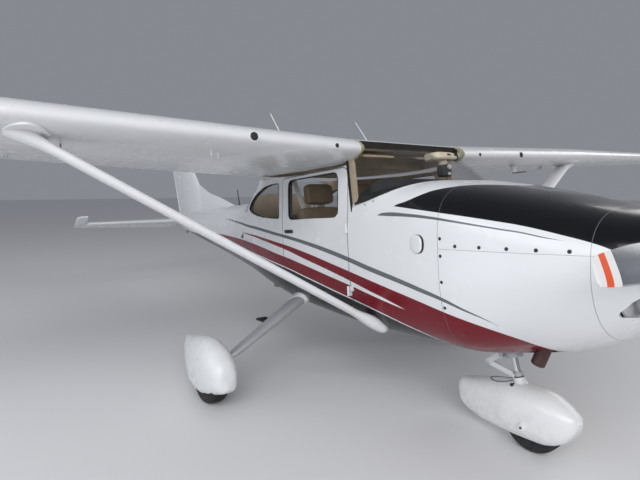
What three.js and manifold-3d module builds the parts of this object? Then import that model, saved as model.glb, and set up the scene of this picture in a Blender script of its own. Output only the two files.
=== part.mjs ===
// A four-seat, high-wing, strut-braced light aircraft with one engine and fixed tricycle gear.
// Millimetres. The airframe is drawn level: x forward from the firewall, y to port, z up from the
// propeller shaft. It then stands nose-up on its three wheels, with the floor at z = 0.

import * as THREE from 'three';
import { mergeVertices } from 'three/addons/utils/BufferGeometryUtils.js';
import Module from 'manifold-3d';

const wasm = await Module();
wasm.setup();

// Stance and gaps
const NOSE_UP = THREE.MathUtils.degToRad(4.6);
const SHAFT_HEIGHT = 1244;
const SEAT_GAP = 0.3;
const RUNNING_GAP = 6;
const TONGUE_WIDTH = 10;
const PIVOT_SIDES = 12;
const WALL = 40;
const SHEET = 12;
const SKIN = 4;
const GLASS = 6;

// Stations along the body
const BOWL_SEAM_X = 760;
const COWL_SPLIT_Z = 11;
const FIREWALL_THICK = 8;
const CABIN_REAR_X = -2760;
const TAIL_END_X = -6200;

// Body sections: station, half width, top, bottom, height of the widest point, and how square
// the corners are above and below it (2 is an ellipse).
const BODY_SECTIONS = [
  { x: 992, half: 190, top: 85, bottom: -165, widest: -50, above: 2.1, below: 2.1 },
  { x: 972, half: 320, top: 130, bottom: -250, widest: -60, above: 2.2, below: 2.2 },
  { x: 900, half: 400, top: 165, bottom: -355, widest: -70, above: 2.5, below: 2.2 },
  { x: 760, half: 445, top: 197, bottom: -465, widest: -75, above: 2.7, below: 2.3 },
  { x: 400, half: 518, top: 292, bottom: -602, widest: -40, above: 3.0, below: 2.4 },
  { x: 0, half: 568, top: 378, bottom: -665, widest: -10, above: 3.6, below: 3.0 },
  { x: -230, half: 572, top: 412, bottom: -653, widest: 0, above: 4.0, below: 3.2 },
  { x: -800, half: 568, top: 425, bottom: -655, widest: 0, above: 4.2, below: 3.4 },
  { x: -1800, half: 562, top: 425, bottom: -592, widest: 0, above: 4.0, below: 3.2 },
  { x: -2350, half: 515, top: 422, bottom: -520, widest: 20, above: 3.4, below: 2.9 },
  { x: -2900, half: 448, top: 418, bottom: -415, widest: 60, above: 3.0, below: 2.6 },
  { x: -3700, half: 348, top: 412, bottom: -285, widest: 110, above: 2.7, below: 2.4 },
  { x: -5200, half: 190, top: 408, bottom: -50, widest: 190, above: 2.4, below: 2.2 },
  { x: -6200, half: 84, top: 400, bottom: 112, widest: 250, above: 2.2, below: 2.1 },
];

// Window band: height, half width beside the doors, half width at the rear pillar, foremost point,
// rearmost point, where the front curve starts, and how square the front curve is.
const BAND_SECTIONS = [
  { z: 0, half: 563, rearHalf: 505, front: 260, rear: -3600, start: -900, square: 2.5 },
  { z: 210, half: 557, rearHalf: 500, front: 40, rear: -3300, start: -900, square: 2.5 },
  { z: 410, half: 548, rearHalf: 480, front: -205, rear: -3010, start: -900, square: 2.5 },
  { z: 600, half: 537, rearHalf: 455, front: -530, rear: -2480, start: -870, square: 3.2 },
  { z: 720, half: 530, rearHalf: 450, front: -735, rear: -2420, start: -850, square: 5 },
  { z: 800, half: 526, rearHalf: 445, front: -800, rear: -2410, start: -845, square: 6 },
];
const BAND_SIDE_END = -1800;
const BODY_RING_STEPS = 32;
const BAND_ARC_STEPS = 10;
const REAR_PILLAR_X = -2350;

// Wing: a cambered section of 12 percent thickness, square to y = 2540 and tapered outboard of it.
const ROOT_Y = 540.3;
const PANEL_BREAK_Y = 2540;
const TIP_RIB_Y = 5280;
const SEMI_SPAN = 5460;
const ROOT_CHORD = 1630;
const TIP_CHORD = 1100;
const WING_NOSE = { x: -665, z: 667 };
const TIP_SWEEP = 160;
const DIHEDRAL = Math.tan(THREE.MathUtils.degToRad(1.95));
const ROOT_INCIDENCE = THREE.MathUtils.degToRad(1.5);
const TIP_INCIDENCE = THREE.MathUtils.degToRad(-1.5);
const CAMBER = 0.02;
const CAMBER_PLACE = 0.4;
const WING_THICKNESS = 0.12;

// Fractions of the chord at which a section has points, closer together at its nose: the wing's, and
// those of the tail, struts, legs and blades
const CHORD_STEPS = [0, 0.012, 0.045, 0.1, 0.18, 0.3, 0.45, 0.6, 0.73, 0.87, 0.99];
const BLADE_STEPS = [0, 0.02, 0.08, 0.2, 0.4, 0.65, 0.97];

// Roof slab between the wings, its spar, and its two whip aerials
const ROOF_FRONT_X = -735;
const SPAR_X = -1100;
const WHIP = { y: 500, footX: -1630, footZ: 720, tipX: -1994, tipZ: 1175, radius: 7, tipRadius: 3 };

// Main strut, from the lower corner of the cabin to the wing, with the chord and thickness of its middle
const STRUT = { low: vec(-700, 455, -512), high: vec(-1075, 2495, 632), chord: 152, thick: 50 };

// Control surfaces on the wing
const FLAP = { inner: 640, outer: 2528, chordAt: 0.73, hingeDrop: 190 };
const FLAP_TRACK_RADIUS = 205;
const AILERON = { inner: 2552, outer: 4980, chordAt: 0.77 };

// Tail surfaces
const FIN_SECTIONS = [
  { z: 250, nose: -5060, tail: -6700, thick: 105 },
  { z: 800, nose: -5360, tail: -6900, thick: 95 },
  { z: 1560, nose: -6350, tail: -7170, thick: 62 },
  { z: 1620, nose: -6470, tail: -7185, thick: 30 },
];
const RUDDER_HINGE = { low: { x: -6262, z: 118 }, high: { x: -6852, z: 1850 } };
const STABILISER = {
  z: 255, hinge: -6080, rootNose: -5440, tipNose: -5700, rootTail: -6480, tipTail: -6250, tip: 1725, thick: 92,
};
const HORN_Y = 1585;

// How far the elevator rests below level, and the rudder to port of straight
const ELEVATOR_DROOP = THREE.MathUtils.degToRad(17);
const RUDDER_TURN = THREE.MathUtils.degToRad(22);

// Doors, as outlines in x and z
const DOOR = { front: -822, rear: -1770, low: -462, high: 560, corner: 70 };
const DOOR_WINDOW = { front: -945, rear: -1660, low: 190, high: 505, corner: 60 };
const BAGGAGE_DOOR = { front: -2190, rear: -2600, low: -215, high: 165, corner: 40 };
const DOOR_GAP = 6;
const HINGE_RADIUS = 9;
const HINGE_LENGTH = 70;
const DOOR_HINGE = { x: -825, y: 580, heights: [-330, 120] };
const BAGGAGE_HINGE = { x: -2193, y: 548, heights: [-120, 70] };

// Engine, its exhaust pipe, and the height of the cabin floor
const ENGINE_LOW = -340;
const EXHAUST = { y: -205, topX: 470, bendZ: -405, endX: 366, endZ: -648, radius: 38, clear: 24 };
const FLOOR_TOP = -470;

// Tie-down eyes: place, height of the plate and its length
const EYE_THICK = 10;
const TAIL_EYE = { x: -6090, y: 0, top: 125, bottom: 40, length: 70 };
const WING_EYE = { x: -1040, y: 2300, top: 545, bottom: 430, length: 60 };

// Wheels
const MAIN_WHEEL = { groundX: -1420, y: 1386, radius: 222.5, width: 160, rim: 88 };
const NOSE_WHEEL = { groundX: 297, y: 0, radius: 181, width: 127, rim: 72 };
const AXLE_RADIUS = 19;
const FLANGE_RADIUS = 52;
const FLANGE_SIDES = 16;
const WHEEL_SIDES = 20;
const NOSE_HUB = wheelCentre(NOSE_WHEEL, 1);

// Main legs, and the place of the knee about the hub
const LEG_TOP = vec(-1681, 400, -455);
const LEG_KNEE = vec(0, -112, 62);
const STEP = { front: -1640, rear: -1850, inner: 730, outer: 830, z: -655, thick: 12 };

// Nose leg: two points of its steering axis, radii, and places along the axis from the first point
const STEER_TOP = vec(59, 0, -560);
const STEER_LOW = vec(125, 0, -860);
const STEER_WAY = STEER_LOW.clone().sub(STEER_TOP).normalize();
const NOSE_LEG = {
  cylinder: 42, piston: 22, cylinderFrom: -170, cylinderTo: 150, ringFrom: 128, ringTo: 158,
  collar: 28, collarFrom: 248, collarTo: 279, pistonTo: 330,
};
const FORK_SPAN = { rear: NOSE_HUB.x - 45, front: NOSE_HUB.x + 30, crownRear: 100 };

// Wheel fairings, about the hub: station, half width, top and bottom
const MAIN_FAIRING = [
  { x: 343, half: 20, top: -2, bottom: -44 },
  { x: 330, half: 56, top: 80, bottom: -60 },
  { x: 269, half: 94, top: 171, bottom: -82 },
  { x: 146, half: 115, top: 238, bottom: -120 },
  { x: 6, half: 122, top: 262, bottom: -148 },
  { x: -134, half: 117, top: 252, bottom: -150 },
  { x: -292, half: 92, top: 224, bottom: -100 },
  { x: -405, half: 58, top: 208, bottom: 7 },
  { x: -471, half: 20, top: 196, bottom: 150 },
];
const NOSE_FAIRING = [
  { x: 278, half: 22, top: 111, bottom: 72 },
  { x: 263, half: 58, top: 108, bottom: 27 },
  { x: 197, half: 98, top: 164, bottom: -59 },
  { x: 81, half: 124, top: 221, bottom: -95 },
  { x: -81, half: 131, top: 224, bottom: -93 },
  { x: -254, half: 113, top: 202, bottom: -88 },
  { x: -426, half: 78, top: 165, bottom: -61 },
  { x: -548, half: 33, top: 123, bottom: 84 },
];

// Propeller
const PROP_X = 1052;
const PROP_RADIUS = 1041;
const HUB_BACK_X = 999;
const SPINNER_RADIUS = 176;
const SPINNER_LENGTH = 375;

const MATERIALS = {
  white: { color: 0xf2f2f0, roughness: 0.25, metalness: 0 },
  resin: { color: 0xf2f2f0, roughness: 0.3, metalness: 0 },
  glass: { color: 0xcfd6d2, roughness: 0.05, metalness: 0 },
  leather: { color: 0xb59a78, roughness: 0.7, metalness: 0 },
  panel: { color: 0x1c1c1e, roughness: 0.8, metalness: 0 },
  carpet: { color: 0x7b6a55, roughness: 1, metalness: 0 },
  metal: { color: 0xb9bcc0, roughness: 0.3, metalness: 1 },
  steel: { color: 0x9a9c9e, roughness: 0.4, metalness: 1 },
  iron: { color: 0x4a4b4d, roughness: 0.6, metalness: 0.6 },
  rubber: { color: 0x1a1a1a, roughness: 0.9, metalness: 0 },
};

// Solids and meshes

function solidOf(geometry) {
  const bare = new THREE.BufferGeometry();
  bare.setAttribute('position', geometry.getAttribute('position'));
  bare.setIndex(geometry.index);
  const merged = mergeVertices(bare, 1e-4);
  return new wasm.Manifold(new wasm.Mesh({
    numProp: 3,
    vertProperties: new Float32Array(merged.getAttribute('position').array),
    triVerts: new Uint32Array(merged.index.array),
  }));
}

function geometryOf(solid) {
  const mesh = solid.getMesh();
  const geometry = new THREE.BufferGeometry();
  geometry.setAttribute('position', new THREE.BufferAttribute(mesh.vertProperties, 3));
  geometry.setIndex(new THREE.BufferAttribute(mesh.triVerts, 1));
  return geometry;
}

function moved(solid, x, y, z) {
  return solidOf(geometryOf(solid).translate(x, y, z));
}

function mirrored(solid) {
  const geometry = geometryOf(solid).scale(1, -1, 1);
  const order = geometry.index.array;
  for (let i = 0; i < order.length; i += 3) {
    [order[i], order[i + 1]] = [order[i + 1], order[i]];
  }
  return solidOf(geometry);
}

function join(...solids) {
  return solids.reduce((sum, solid) => sum.add(solid));
}

function signedVolume(points, index) {
  let volume = 0;
  for (let i = 0; i < index.length; i += 3) {
    const [a, b, c] = [points[index[i]], points[index[i + 1]], points[index[i + 2]]];
    volume += a.dot(b.clone().cross(c)) / 6;
  }
  return volume;
}

// A closed solid through rings of points, every ring with the same count, with flat ends. Four-sided
// faces are split the other way to starboard, so that a symmetrical body stays symmetrical.
function loft(rings) {
  const count = rings[0].length;
  const points = rings.flat();
  const index = [];
  for (let i = 0; i < rings.length - 1; i += 1) {
    for (let j = 0; j < count; j += 1) {
      const a = i * count + j;
      const b = i * count + ((j + 1) % count);
      const [c, d] = [a + count, b + count];
      const portSide = points[a].y + points[b].y + points[c].y + points[d].y > 0;
      index.push(...(portSide ? [a, b, c, b, d, c] : [a, b, d, a, d, c]));
    }
  }
  for (const last of [false, true]) {
    const start = last ? (rings.length - 1) * count : 0;
    const ring = last ? rings[rings.length - 1] : rings[0];
    const centre = points.length;
    points.push(ring.reduce((sum, p) => sum.add(p), new THREE.Vector3()).divideScalar(count));
    for (let j = 0; j < count; j += 1) {
      const a = start + j;
      const b = start + ((j + 1) % count);
      index.push(...(last ? [centre, a, b] : [centre, b, a]));
    }
  }
  const ordered = signedVolume(points, index) < 0 ? index.reverse() : index;
  const geometry = new THREE.BufferGeometry().setFromPoints(points);
  geometry.setIndex(ordered);
  return solidOf(geometry);
}

function box(x0, x1, y0, y1, z0, z1) {
  const geometry = new THREE.BoxGeometry(x1 - x0, y1 - y0, z1 - z0);
  return solidOf(geometry.translate((x0 + x1) / 2, (y0 + y1) / 2, (z0 + z1) / 2));
}

function rod(from, to, startRadius, endRadius = startRadius, sides = 12) {
  const along = to.clone().sub(from);
  const geometry = new THREE.CylinderGeometry(endRadius, startRadius, along.length(), sides);
  geometry.applyQuaternion(new THREE.Quaternion().setFromUnitVectors(
    new THREE.Vector3(0, 1, 0), along.clone().normalize()));
  const middle = from.clone().add(to).divideScalar(2);
  return solidOf(geometry.translate(middle.x, middle.y, middle.z));
}

function vec(x, y, z) {
  return new THREE.Vector3(x, y, z);
}

// A closed outline through corner points, each corner eased by a curve of the given size.
function easedShape(corners, ease) {
  const shape = new THREE.Shape();
  corners.forEach(([x, y], i) => {
    const corner = new THREE.Vector2(x, y);
    const before = new THREE.Vector2(...corners[(i + corners.length - 1) % corners.length]);
    const after = new THREE.Vector2(...corners[(i + 1) % corners.length]);
    const toBefore = before.sub(corner);
    const toAfter = after.sub(corner);
    const enter = corner.clone().add(toBefore.setLength(Math.min(ease, toBefore.length() * 0.45)));
    const leave = corner.clone().add(toAfter.setLength(Math.min(ease, toAfter.length() * 0.45)));
    if (i === 0) {
      shape.moveTo(enter.x, enter.y);
    } else {
      shape.lineTo(enter.x, enter.y);
    }
    shape.quadraticCurveTo(corner.x, corner.y, leave.x, leave.y);
  });
  shape.closePath();
  return shape;
}

function shapeOf(corners) {
  return new THREE.Shape(corners.map(([x, y]) => new THREE.Vector2(x, y)));
}

// An outline in x and z, carried along y.
function sidePrism(shape, y0, y1, curveSegments = 5) {
  const geometry = new THREE.ExtrudeGeometry(shape, { depth: y1 - y0, bevelEnabled: false, curveSegments });
  return solidOf(geometry.rotateX(Math.PI / 2).translate(0, y1, 0));
}

// An outline in x and y, carried along z.
function planPrism(shape, z0, z1, curveSegments = 5) {
  const geometry = new THREE.ExtrudeGeometry(shape, { depth: z1 - z0, bevelEnabled: false, curveSegments });
  return solidOf(geometry.translate(0, 0, z0));
}

// An outline in y and z, carried along x.
function endPrism(shape, x0, x1, curveSegments = 5) {
  const geometry = new THREE.ExtrudeGeometry(shape, { depth: x1 - x0, bevelEnabled: false, curveSegments });
  return solidOf(geometry.rotateX(Math.PI / 2).rotateZ(Math.PI / 2).translate(x0, 0, 0));
}

function frameShape(outline, grow) {
  const { front, rear, low, high, corner } = outline;
  const corners = [[front + grow, low - grow], [front + grow, high + grow],
    [rear - grow, high + grow], [rear - grow, low - grow]];
  return easedShape(corners, corner + grow);
}

// Rings

function power(value, square) {
  return Math.sign(value) * Math.abs(value) ** (2 / square);
}

function bodyRing(section, inset) {
  const ring = [];
  const steps = BODY_RING_STEPS;
  for (let i = 0; i < steps; i += 1) {
    const angle = (i / steps) * Math.PI * 2;
    const upper = Math.sin(angle) >= 0;
    const square = upper ? section.above : section.below;
    const reach = (upper ? section.top - section.widest : section.widest - section.bottom) - inset;
    ring.push(vec(section.x, (section.half - inset) * power(Math.cos(angle), square),
      section.widest + reach * power(Math.sin(angle), square)));
  }
  return ring;
}

function bandRing(section, inset) {
  const ring = [];
  const steps = BAND_ARC_STEPS;
  const { z, half, rearHalf, front, rear, start, square } = section;
  for (let i = 0; i <= steps; i += 1) {
    const angle = -Math.PI / 2 + (i / steps) * Math.PI;
    ring.push(vec(start + (front - inset - start) * power(Math.cos(angle), square),
      (half - inset) * power(Math.sin(angle), square), z));
  }
  ring.push(vec(BAND_SIDE_END, half - inset, z));
  for (let i = 0; i <= steps; i += 1) {
    const angle = Math.PI / 2 + (i / steps) * Math.PI;
    ring.push(vec(REAR_PILLAR_X + (REAR_PILLAR_X - rear - inset) * power(Math.cos(angle), 2.2),
      (rearHalf - inset) * power(Math.sin(angle), 2.2), z));
  }
  ring.push(vec(BAND_SIDE_END, inset - half, z));
  return ring;
}

function lowerBody(inset) {
  const last = BODY_SECTIONS.length - 1;
  const overhang = Math.max(0, -inset);
  return loft(BODY_SECTIONS.map((section, i) => (
    bodyRing({ ...section, x: section.x + (i === 0 ? overhang : 0) - (i === last ? overhang : 0) }, inset))));
}

function windowBand(inset) {
  return loft(BAND_SECTIONS.map((section) => bandRing(section, inset)));
}

// Half thickness of the section at a fraction of its chord, for a unit chord.
function halfThickness(f, thickness) {
  const share = 0.2969 * Math.sqrt(f) - 0.126 * f - 0.3516 * f ** 2 + 0.2843 * f ** 3 - 0.1036 * f ** 4;
  return 5 * thickness * share;
}

function camberLine(f) {
  const p = CAMBER_PLACE;
  return f < p
    ? (CAMBER / p ** 2) * (2 * p * f - f ** 2)
    : (CAMBER / (1 - p) ** 2) * (1 - 2 * p + 2 * p * f - f ** 2);
}

function wingStation(y) {
  const out = Math.max(0, (y - PANEL_BREAK_Y) / (TIP_RIB_Y - PANEL_BREAK_Y));
  const along = (y - ROOT_Y) / (TIP_RIB_Y - ROOT_Y);
  return {
    chord: ROOT_CHORD + (TIP_CHORD - ROOT_CHORD) * out,
    noseX: WING_NOSE.x - TIP_SWEEP * out,
    noseZ: WING_NOSE.z + (y - ROOT_Y) * DIHEDRAL,
    pitch: ROOT_INCIDENCE + (TIP_INCIDENCE - ROOT_INCIDENCE) * along,
  };
}

// A point of the wing: span place, fraction of chord, and side: 1 above, 0 on the camber line, -1 below.
function wingPoint(y, f, side, station = wingStation(y)) {
  const { chord, noseX, noseZ, pitch } = station;
  const back = f * chord;
  const up = (camberLine(f) + side * halfThickness(f, WING_THICKNESS)) * chord;
  return vec(noseX - back * Math.cos(pitch) + up * Math.sin(pitch), y,
    noseZ + up * Math.cos(pitch) - back * Math.sin(pitch));
}

function wingRing(y, station) {
  const above = CHORD_STEPS.map((f) => wingPoint(y, f, 1, station));
  const below = CHORD_STEPS.slice(1).reverse().map((f) => wingPoint(y, f, -1, station));
  return [...above, ...below];
}

function wingSolid() {
  const tip = wingStation(TIP_RIB_Y);
  const cap = { ...tip, chord: tip.chord * 0.78, noseX: tip.noseX - tip.chord * 0.09, noseZ: tip.noseZ - 12 };
  const rings = [ROOT_Y, PANEL_BREAK_Y, TIP_RIB_Y].map((y) => wingRing(y, wingStation(y)));
  const round = { ...tip, chord: tip.chord * 0.95, noseX: tip.noseX - tip.chord * 0.02 };
  rings.push(wingRing(TIP_RIB_Y + 120, round));
  rings.push(wingRing(SEMI_SPAN, cap));
  return loft(rings);
}

// A symmetrical fin-like section between a nose and a tail edge.
function bladeRing(nose, tail, thick, across) {
  const chord = tail.clone().sub(nose);
  const point = (f, side) => (
    nose.clone().addScaledVector(chord, f).addScaledVector(across, side * bladeHalf(f, thick)));
  return [...BLADE_STEPS.map((f) => point(f, 1)), ...BLADE_STEPS.slice(1).reverse().map((f) => point(f, -1))];
}

function bladeHalf(f, thick) {
  return (halfThickness(f, 1) / halfThickness(0.3, 1)) * (thick / 2);
}

// The hollow of a skinned surface. Each row has the nose, tail and thickness of the whole section, and
// the fractions of its chord where the hollow starts and ends.
function skinCore(rows, across) {
  return loft(rows.map(({ nose, tail, thick, from, to }) => {
    const chord = tail.clone().sub(nose);
    const point = (f, side) => nose.clone().addScaledVector(chord, f)
      .addScaledVector(across, side * Math.max(1, bladeHalf(f, thick) - SKIN));
    const steps = [0, 0.12, 0.35, 0.65, 1].map((step) => from + (to - from) * step);
    return [...steps.map((f) => point(f, 1)), ...steps.slice().reverse().map((f) => point(f, -1))];
  }));
}

// Hinged edges

// The space of a control surface: round about its hinge line and all that lies behind it.
function surfaceSpace(from, to, startRadius, endRadius, back, gap) {
  const along = to.clone().sub(from).normalize();
  const start = from.clone().addScaledVector(along, -gap);
  const end = to.clone().addScaledVector(along, gap);
  const round = rod(start, end, startRadius + gap, endRadius + gap, PIVOT_SIDES);
  const up = along.clone().cross(back).normalize().multiplyScalar(400);
  const rings = [start, end].map((p) => [up.clone(), up.clone().add(back), up.clone().negate().add(back),
    up.clone().negate()].map((offset) => p.clone().add(offset)));
  return round.add(loft(rings));
}

// Round tongues on the fixed part, in pockets of the moving part, about the hinge line.
function withTongues(fixed, moving, from, to, places, radius, arm) {
  const along = to.clone().sub(from).normalize();
  let held = fixed;
  let swinging = moving;
  for (const place of places) {
    const middle = from.clone().lerp(to, place);
    const side = (width) => [middle.clone().addScaledVector(along, -width / 2),
      middle.clone().addScaledVector(along, width / 2)];
    const [left, right] = side(TONGUE_WIDTH);
    const forward = arm.clone().normalize();
    const up = along.clone().cross(forward).normalize();
    const tongueArm = loft([left, right].map((p) => [
      p.clone().addScaledVector(up, radius * 0.6),
      p.clone().add(arm).addScaledVector(up, radius * 0.6),
      p.clone().add(arm).addScaledVector(up, -radius * 0.6),
      p.clone().addScaledVector(up, -radius * 0.6),
    ]));
    const [wideLeft, wideRight] = side(TONGUE_WIDTH + 2 * RUNNING_GAP);
    const pocket = loft([wideLeft, wideRight].map((p) => [
      p.clone().addScaledVector(up, 200),
      p.clone().addScaledVector(forward, 300).addScaledVector(up, 200),
      p.clone().addScaledVector(forward, 300).addScaledVector(up, -200),
      p.clone().addScaledVector(up, -200),
    ]));
    const clear = (radius + SEAT_GAP) / Math.cos(Math.PI / PIVOT_SIDES);
    held = join(held, rod(left, right, radius, radius, PIVOT_SIDES), tongueArm);
    swinging = swinging.subtract(pocket).subtract(rod(wideLeft, wideRight, clear, clear, PIVOT_SIDES));
  }
  return [held, swinging];
}

// Scene graph

const airframe = new THREE.Group();
airframe.rotation.y = -NOSE_UP;
airframe.position.z = SHAFT_HEIGHT;

function mesh(parent, name, solid, material) {
  const piece = new THREE.Mesh(geometryOf(solid), new THREE.MeshStandardMaterial(MATERIALS[material]));
  piece.name = name;
  piece.material.userData.slot = material;
  piece.position.copy(parent.userData.pivot ?? vec(0, 0, 0)).negate();
  parent.add(piece);
  return piece;
}

// A group that turns about a point and an axis of the airframe; its meshes are drawn in airframe places.
function movingGroup(name, point, axis, parent = airframe) {
  const group = new THREE.Group();
  group.name = name;
  group.position.copy(point).sub(parent.userData.pivot ?? vec(0, 0, 0));
  group.userData = { pivot: point.clone(), axis: axis.clone().normalize() };
  parent.add(group);
  return group;
}

// A wheel's centre in the airframe, from where it stands on the floor, on a flat between two corners.
function wheelCentre(wheel, side) {
  const rise = wheel.radius * Math.cos(Math.PI / WHEEL_SIDES) - SHAFT_HEIGHT;
  return vec(wheel.groundX * Math.cos(NOSE_UP) + rise * Math.sin(NOSE_UP), wheel.y * side,
    rise * Math.cos(NOSE_UP) - wheel.groundX * Math.sin(NOSE_UP));
}

// Body

const bodySolid = lowerBody(0);
const bandSolid = windowBand(0);
const outerHull = join(bodySolid, bandSolid);
const seatedHull = join(lowerBody(-SEAT_GAP), windowBand(-SEAT_GAP));
const seatedBody = lowerBody(-SEAT_GAP);
const cabinSpace = join(lowerBody(WALL), windowBand(WALL));
const cabinLining = join(lowerBody(WALL + SEAT_GAP), windowBand(WALL + SEAT_GAP));

function roofSlab(drop) {
  const rings = [-ROOT_Y + SEAT_GAP, ROOT_Y - SEAT_GAP].map((y) => wingRing(y, wingStation(ROOT_Y)));
  return moved(loft(rings), 0, 0, -drop);
}

function buildRoof() {
  const front = box(ROOF_FRONT_X, 0, -700, 700, 400, 1000);
  const hollow = box(SPAR_X, 0, WALL - ROOT_Y, ROOT_Y - WALL, 400, 675);
  const { y, footX, footZ, tipX, tipZ, radius, tipRadius } = WHIP;
  const whip = rod(vec(footX, y, footZ), vec(tipX, y, tipZ), radius, tipRadius, 8);
  return join(roofSlab(0).subtract(front).subtract(hollow), bothSides(whip));
}

function windshieldSpace(grow) {
  const corners = [[-772 - grow, 150], [-845 - grow, 610], [-845 - grow, 900], [900, 900], [900, 150]];
  return sidePrism(shapeOf(corners), -700, 700);
}

function rearWindowSpace(grow) {
  const corners = [[-2690 + grow, 300 - grow], [-2420 + grow, 575 + grow], [-2420 + grow, 700],
    [-3900, 700], [-3900, 300 - grow]];
  return sidePrism(shapeOf(corners), -700, 700);
}

function sideWindowSpace(grow) {
  const corners = [[-1866 + grow, 200 - grow], [-1880 + grow, 500 + grow], [-2040, 500 + grow],
    [-2330 - grow, 420 + grow], [-2530 - grow, 345], [-2440 - grow, 235 - grow], [-2200, 200 - grow]];
  return easedShape(corners, 62);
}

function bothSides(solid) {
  return solid.add(mirrored(solid));
}

function glassShell() {
  return windowBand(4).subtract(windowBand(4 + GLASS));
}

function buildCabin() {
  const length = box(CABIN_REAR_X, -FIREWALL_THICK - SEAT_GAP, -900, 900, -900, 900);
  const overhead = box(-3000, ROOF_FRONT_X, -900, 900, 600, 900);
  const windshield = windshieldSpace(0).subtract(bodySolid);
  const rearGlass = rearWindowSpace(0).subtract(bodySolid);
  const sideOpenings = bothSides(join(
    sidePrism(frameShape(DOOR, 0), 300, 800),
    sidePrism(sideWindowSpace(0), 300, 800),
  ));
  const baggageOpening = sidePrism(frameShape(BAGGAGE_DOOR, 0), 200, 800);
  let shell = outerHull.intersect(length).subtract(cabinSpace).subtract(overhead);
  shell = shell.subtract(windshield).subtract(rearGlass).subtract(sideOpenings).subtract(baggageOpening);
  shell = shell.subtract(moved(roofSlab(0), 0, 0, -SEAT_GAP)).subtract(moved(roofSlab(0), 0, 0, 30));
  shell = join(shell, ...hingeHalves(DOOR_HINGE, 1, true), ...hingeHalves(DOOR_HINGE, -1, true));
  return join(shell, ...hingeHalves(BAGGAGE_HINGE, 1, true));
}

// The fixed or the swinging halves of a door's hinges.
function hingeHalves(hinge, side, fixed) {
  const half = HINGE_LENGTH / 2;
  return hinge.heights.map((z) => (
    fixed ? hingeBarrel(hinge, side, z, z + half, 1) : hingeBarrel(hinge, side, z - half, z - SEAT_GAP, -1)));
}

// A hinge barrel outside the skin with a leaf that runs forward or aft onto it.
function hingeBarrel(hinge, side, z0, z1, towards) {
  const { x, y } = hinge;
  const barrel = rod(vec(x, y * side, z0), vec(x, y * side, z1), HINGE_RADIUS, HINGE_RADIUS, 12);
  const ends = [x, x + towards * 34].sort((a, b) => a - b);
  const sides = [(y - 34) * side, (y + 3) * side].sort((a, b) => a - b);
  return barrel.add(box(...ends, ...sides, z0, z1));
}

function buildDoor(side) {
  const wall = outerHull.subtract(cabinSpace);
  const ys = side > 0 ? [300, 800] : [-800, -300];
  let door = wall.intersect(sidePrism(frameShape(DOOR, -DOOR_GAP), ...ys));
  door = door.subtract(sidePrism(frameShape(DOOR_WINDOW, 0), ...ys));
  return join(door, ...hingeHalves(DOOR_HINGE, side, false));
}

function buildBaggageDoor() {
  const wall = outerHull.subtract(cabinSpace);
  const door = wall.intersect(sidePrism(frameShape(BAGGAGE_DOOR, -DOOR_GAP), 300, 800));
  return join(door, ...hingeHalves(BAGGAGE_HINGE, 1, false));
}

function buildPane(shape, side) {
  const ys = side > 0 ? [300, 800] : [-800, -300];
  return glassShell().intersect(sidePrism(shape, ...ys));
}

function buildWindshield() {
  const inside = box(ROOF_FRONT_X + SEAT_GAP, 900, -900, 900, 100, 719);
  const lowFront = box(-900, 900, -900, 900, 100, 560);
  const pane = glassShell().intersect(windshieldSpace(-SEAT_GAP)).subtract(seatedBody);
  return pane.intersect(inside.add(lowFront)).subtract(moved(roofSlab(0), 0, 0, -SEAT_GAP));
}

function buildRearWindow() {
  const pane = glassShell().intersect(rearWindowSpace(-SEAT_GAP)).subtract(seatedBody);
  return pane.subtract(moved(roofSlab(0), 0, 0, -SEAT_GAP)).intersect(box(-4000, -2300, -900, 900, 0, 600));
}

function buildTailcone() {
  const length = box(TAIL_END_X, CABIN_REAR_X - SEAT_GAP, -900, 900, -900, 900);
  const inside = lowerBody(SKIN).intersect(box(TAIL_END_X - 10, CABIN_REAR_X + 10, -900, 900, -900, 900));
  const torqueSlot = box(-6400, STABILISER.hinge + 40, -300, 300, STABILISER.z - 40, STABILISER.z + 40);
  const aerial = rod(vec(-3880, 0, 400), vec(-3925, 0, 625), 6, 5, 8);
  return join(bodySolid.intersect(length).subtract(inside), aerial, eyePlate(TAIL_EYE)).subtract(torqueSlot);
}

// An upright plate with a hole near its lower end, for a tie-down rope.
function eyePlate({ x, y, top, bottom, length }) {
  const plate = box(x - length / 2, x + length / 2, y - EYE_THICK / 2, y + EYE_THICK / 2, bottom, top);
  const hole = rod(vec(x, y - EYE_THICK, bottom + 18), vec(x, y + EYE_THICK, bottom + 18), 8, 8, 10);
  return plate.subtract(hole);
}

function buildCowl(upper) {
  const heights = upper ? [COWL_SPLIT_Z + SEAT_GAP / 2, 900] : [-900, COWL_SPLIT_Z - SEAT_GAP / 2];
  const part = box(0, BOWL_SEAM_X, -900, 900, ...heights);
  const outlet = box(-10, 120, -260, 260, -900, -600);
  const legWell = box(-10, 330, -110, 110, -900, -300);
  const { bend, end, radius, clear } = exhaustLine();
  const pipeHole = rod(bend, end.clone().multiplyScalar(2).sub(bend), radius + clear, radius + clear, 12);
  const shell = bodySolid.subtract(lowerBody(SHEET)).intersect(part);
  return upper ? shell : shell.subtract(outlet).subtract(legWell).subtract(pipeHole);
}

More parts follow.
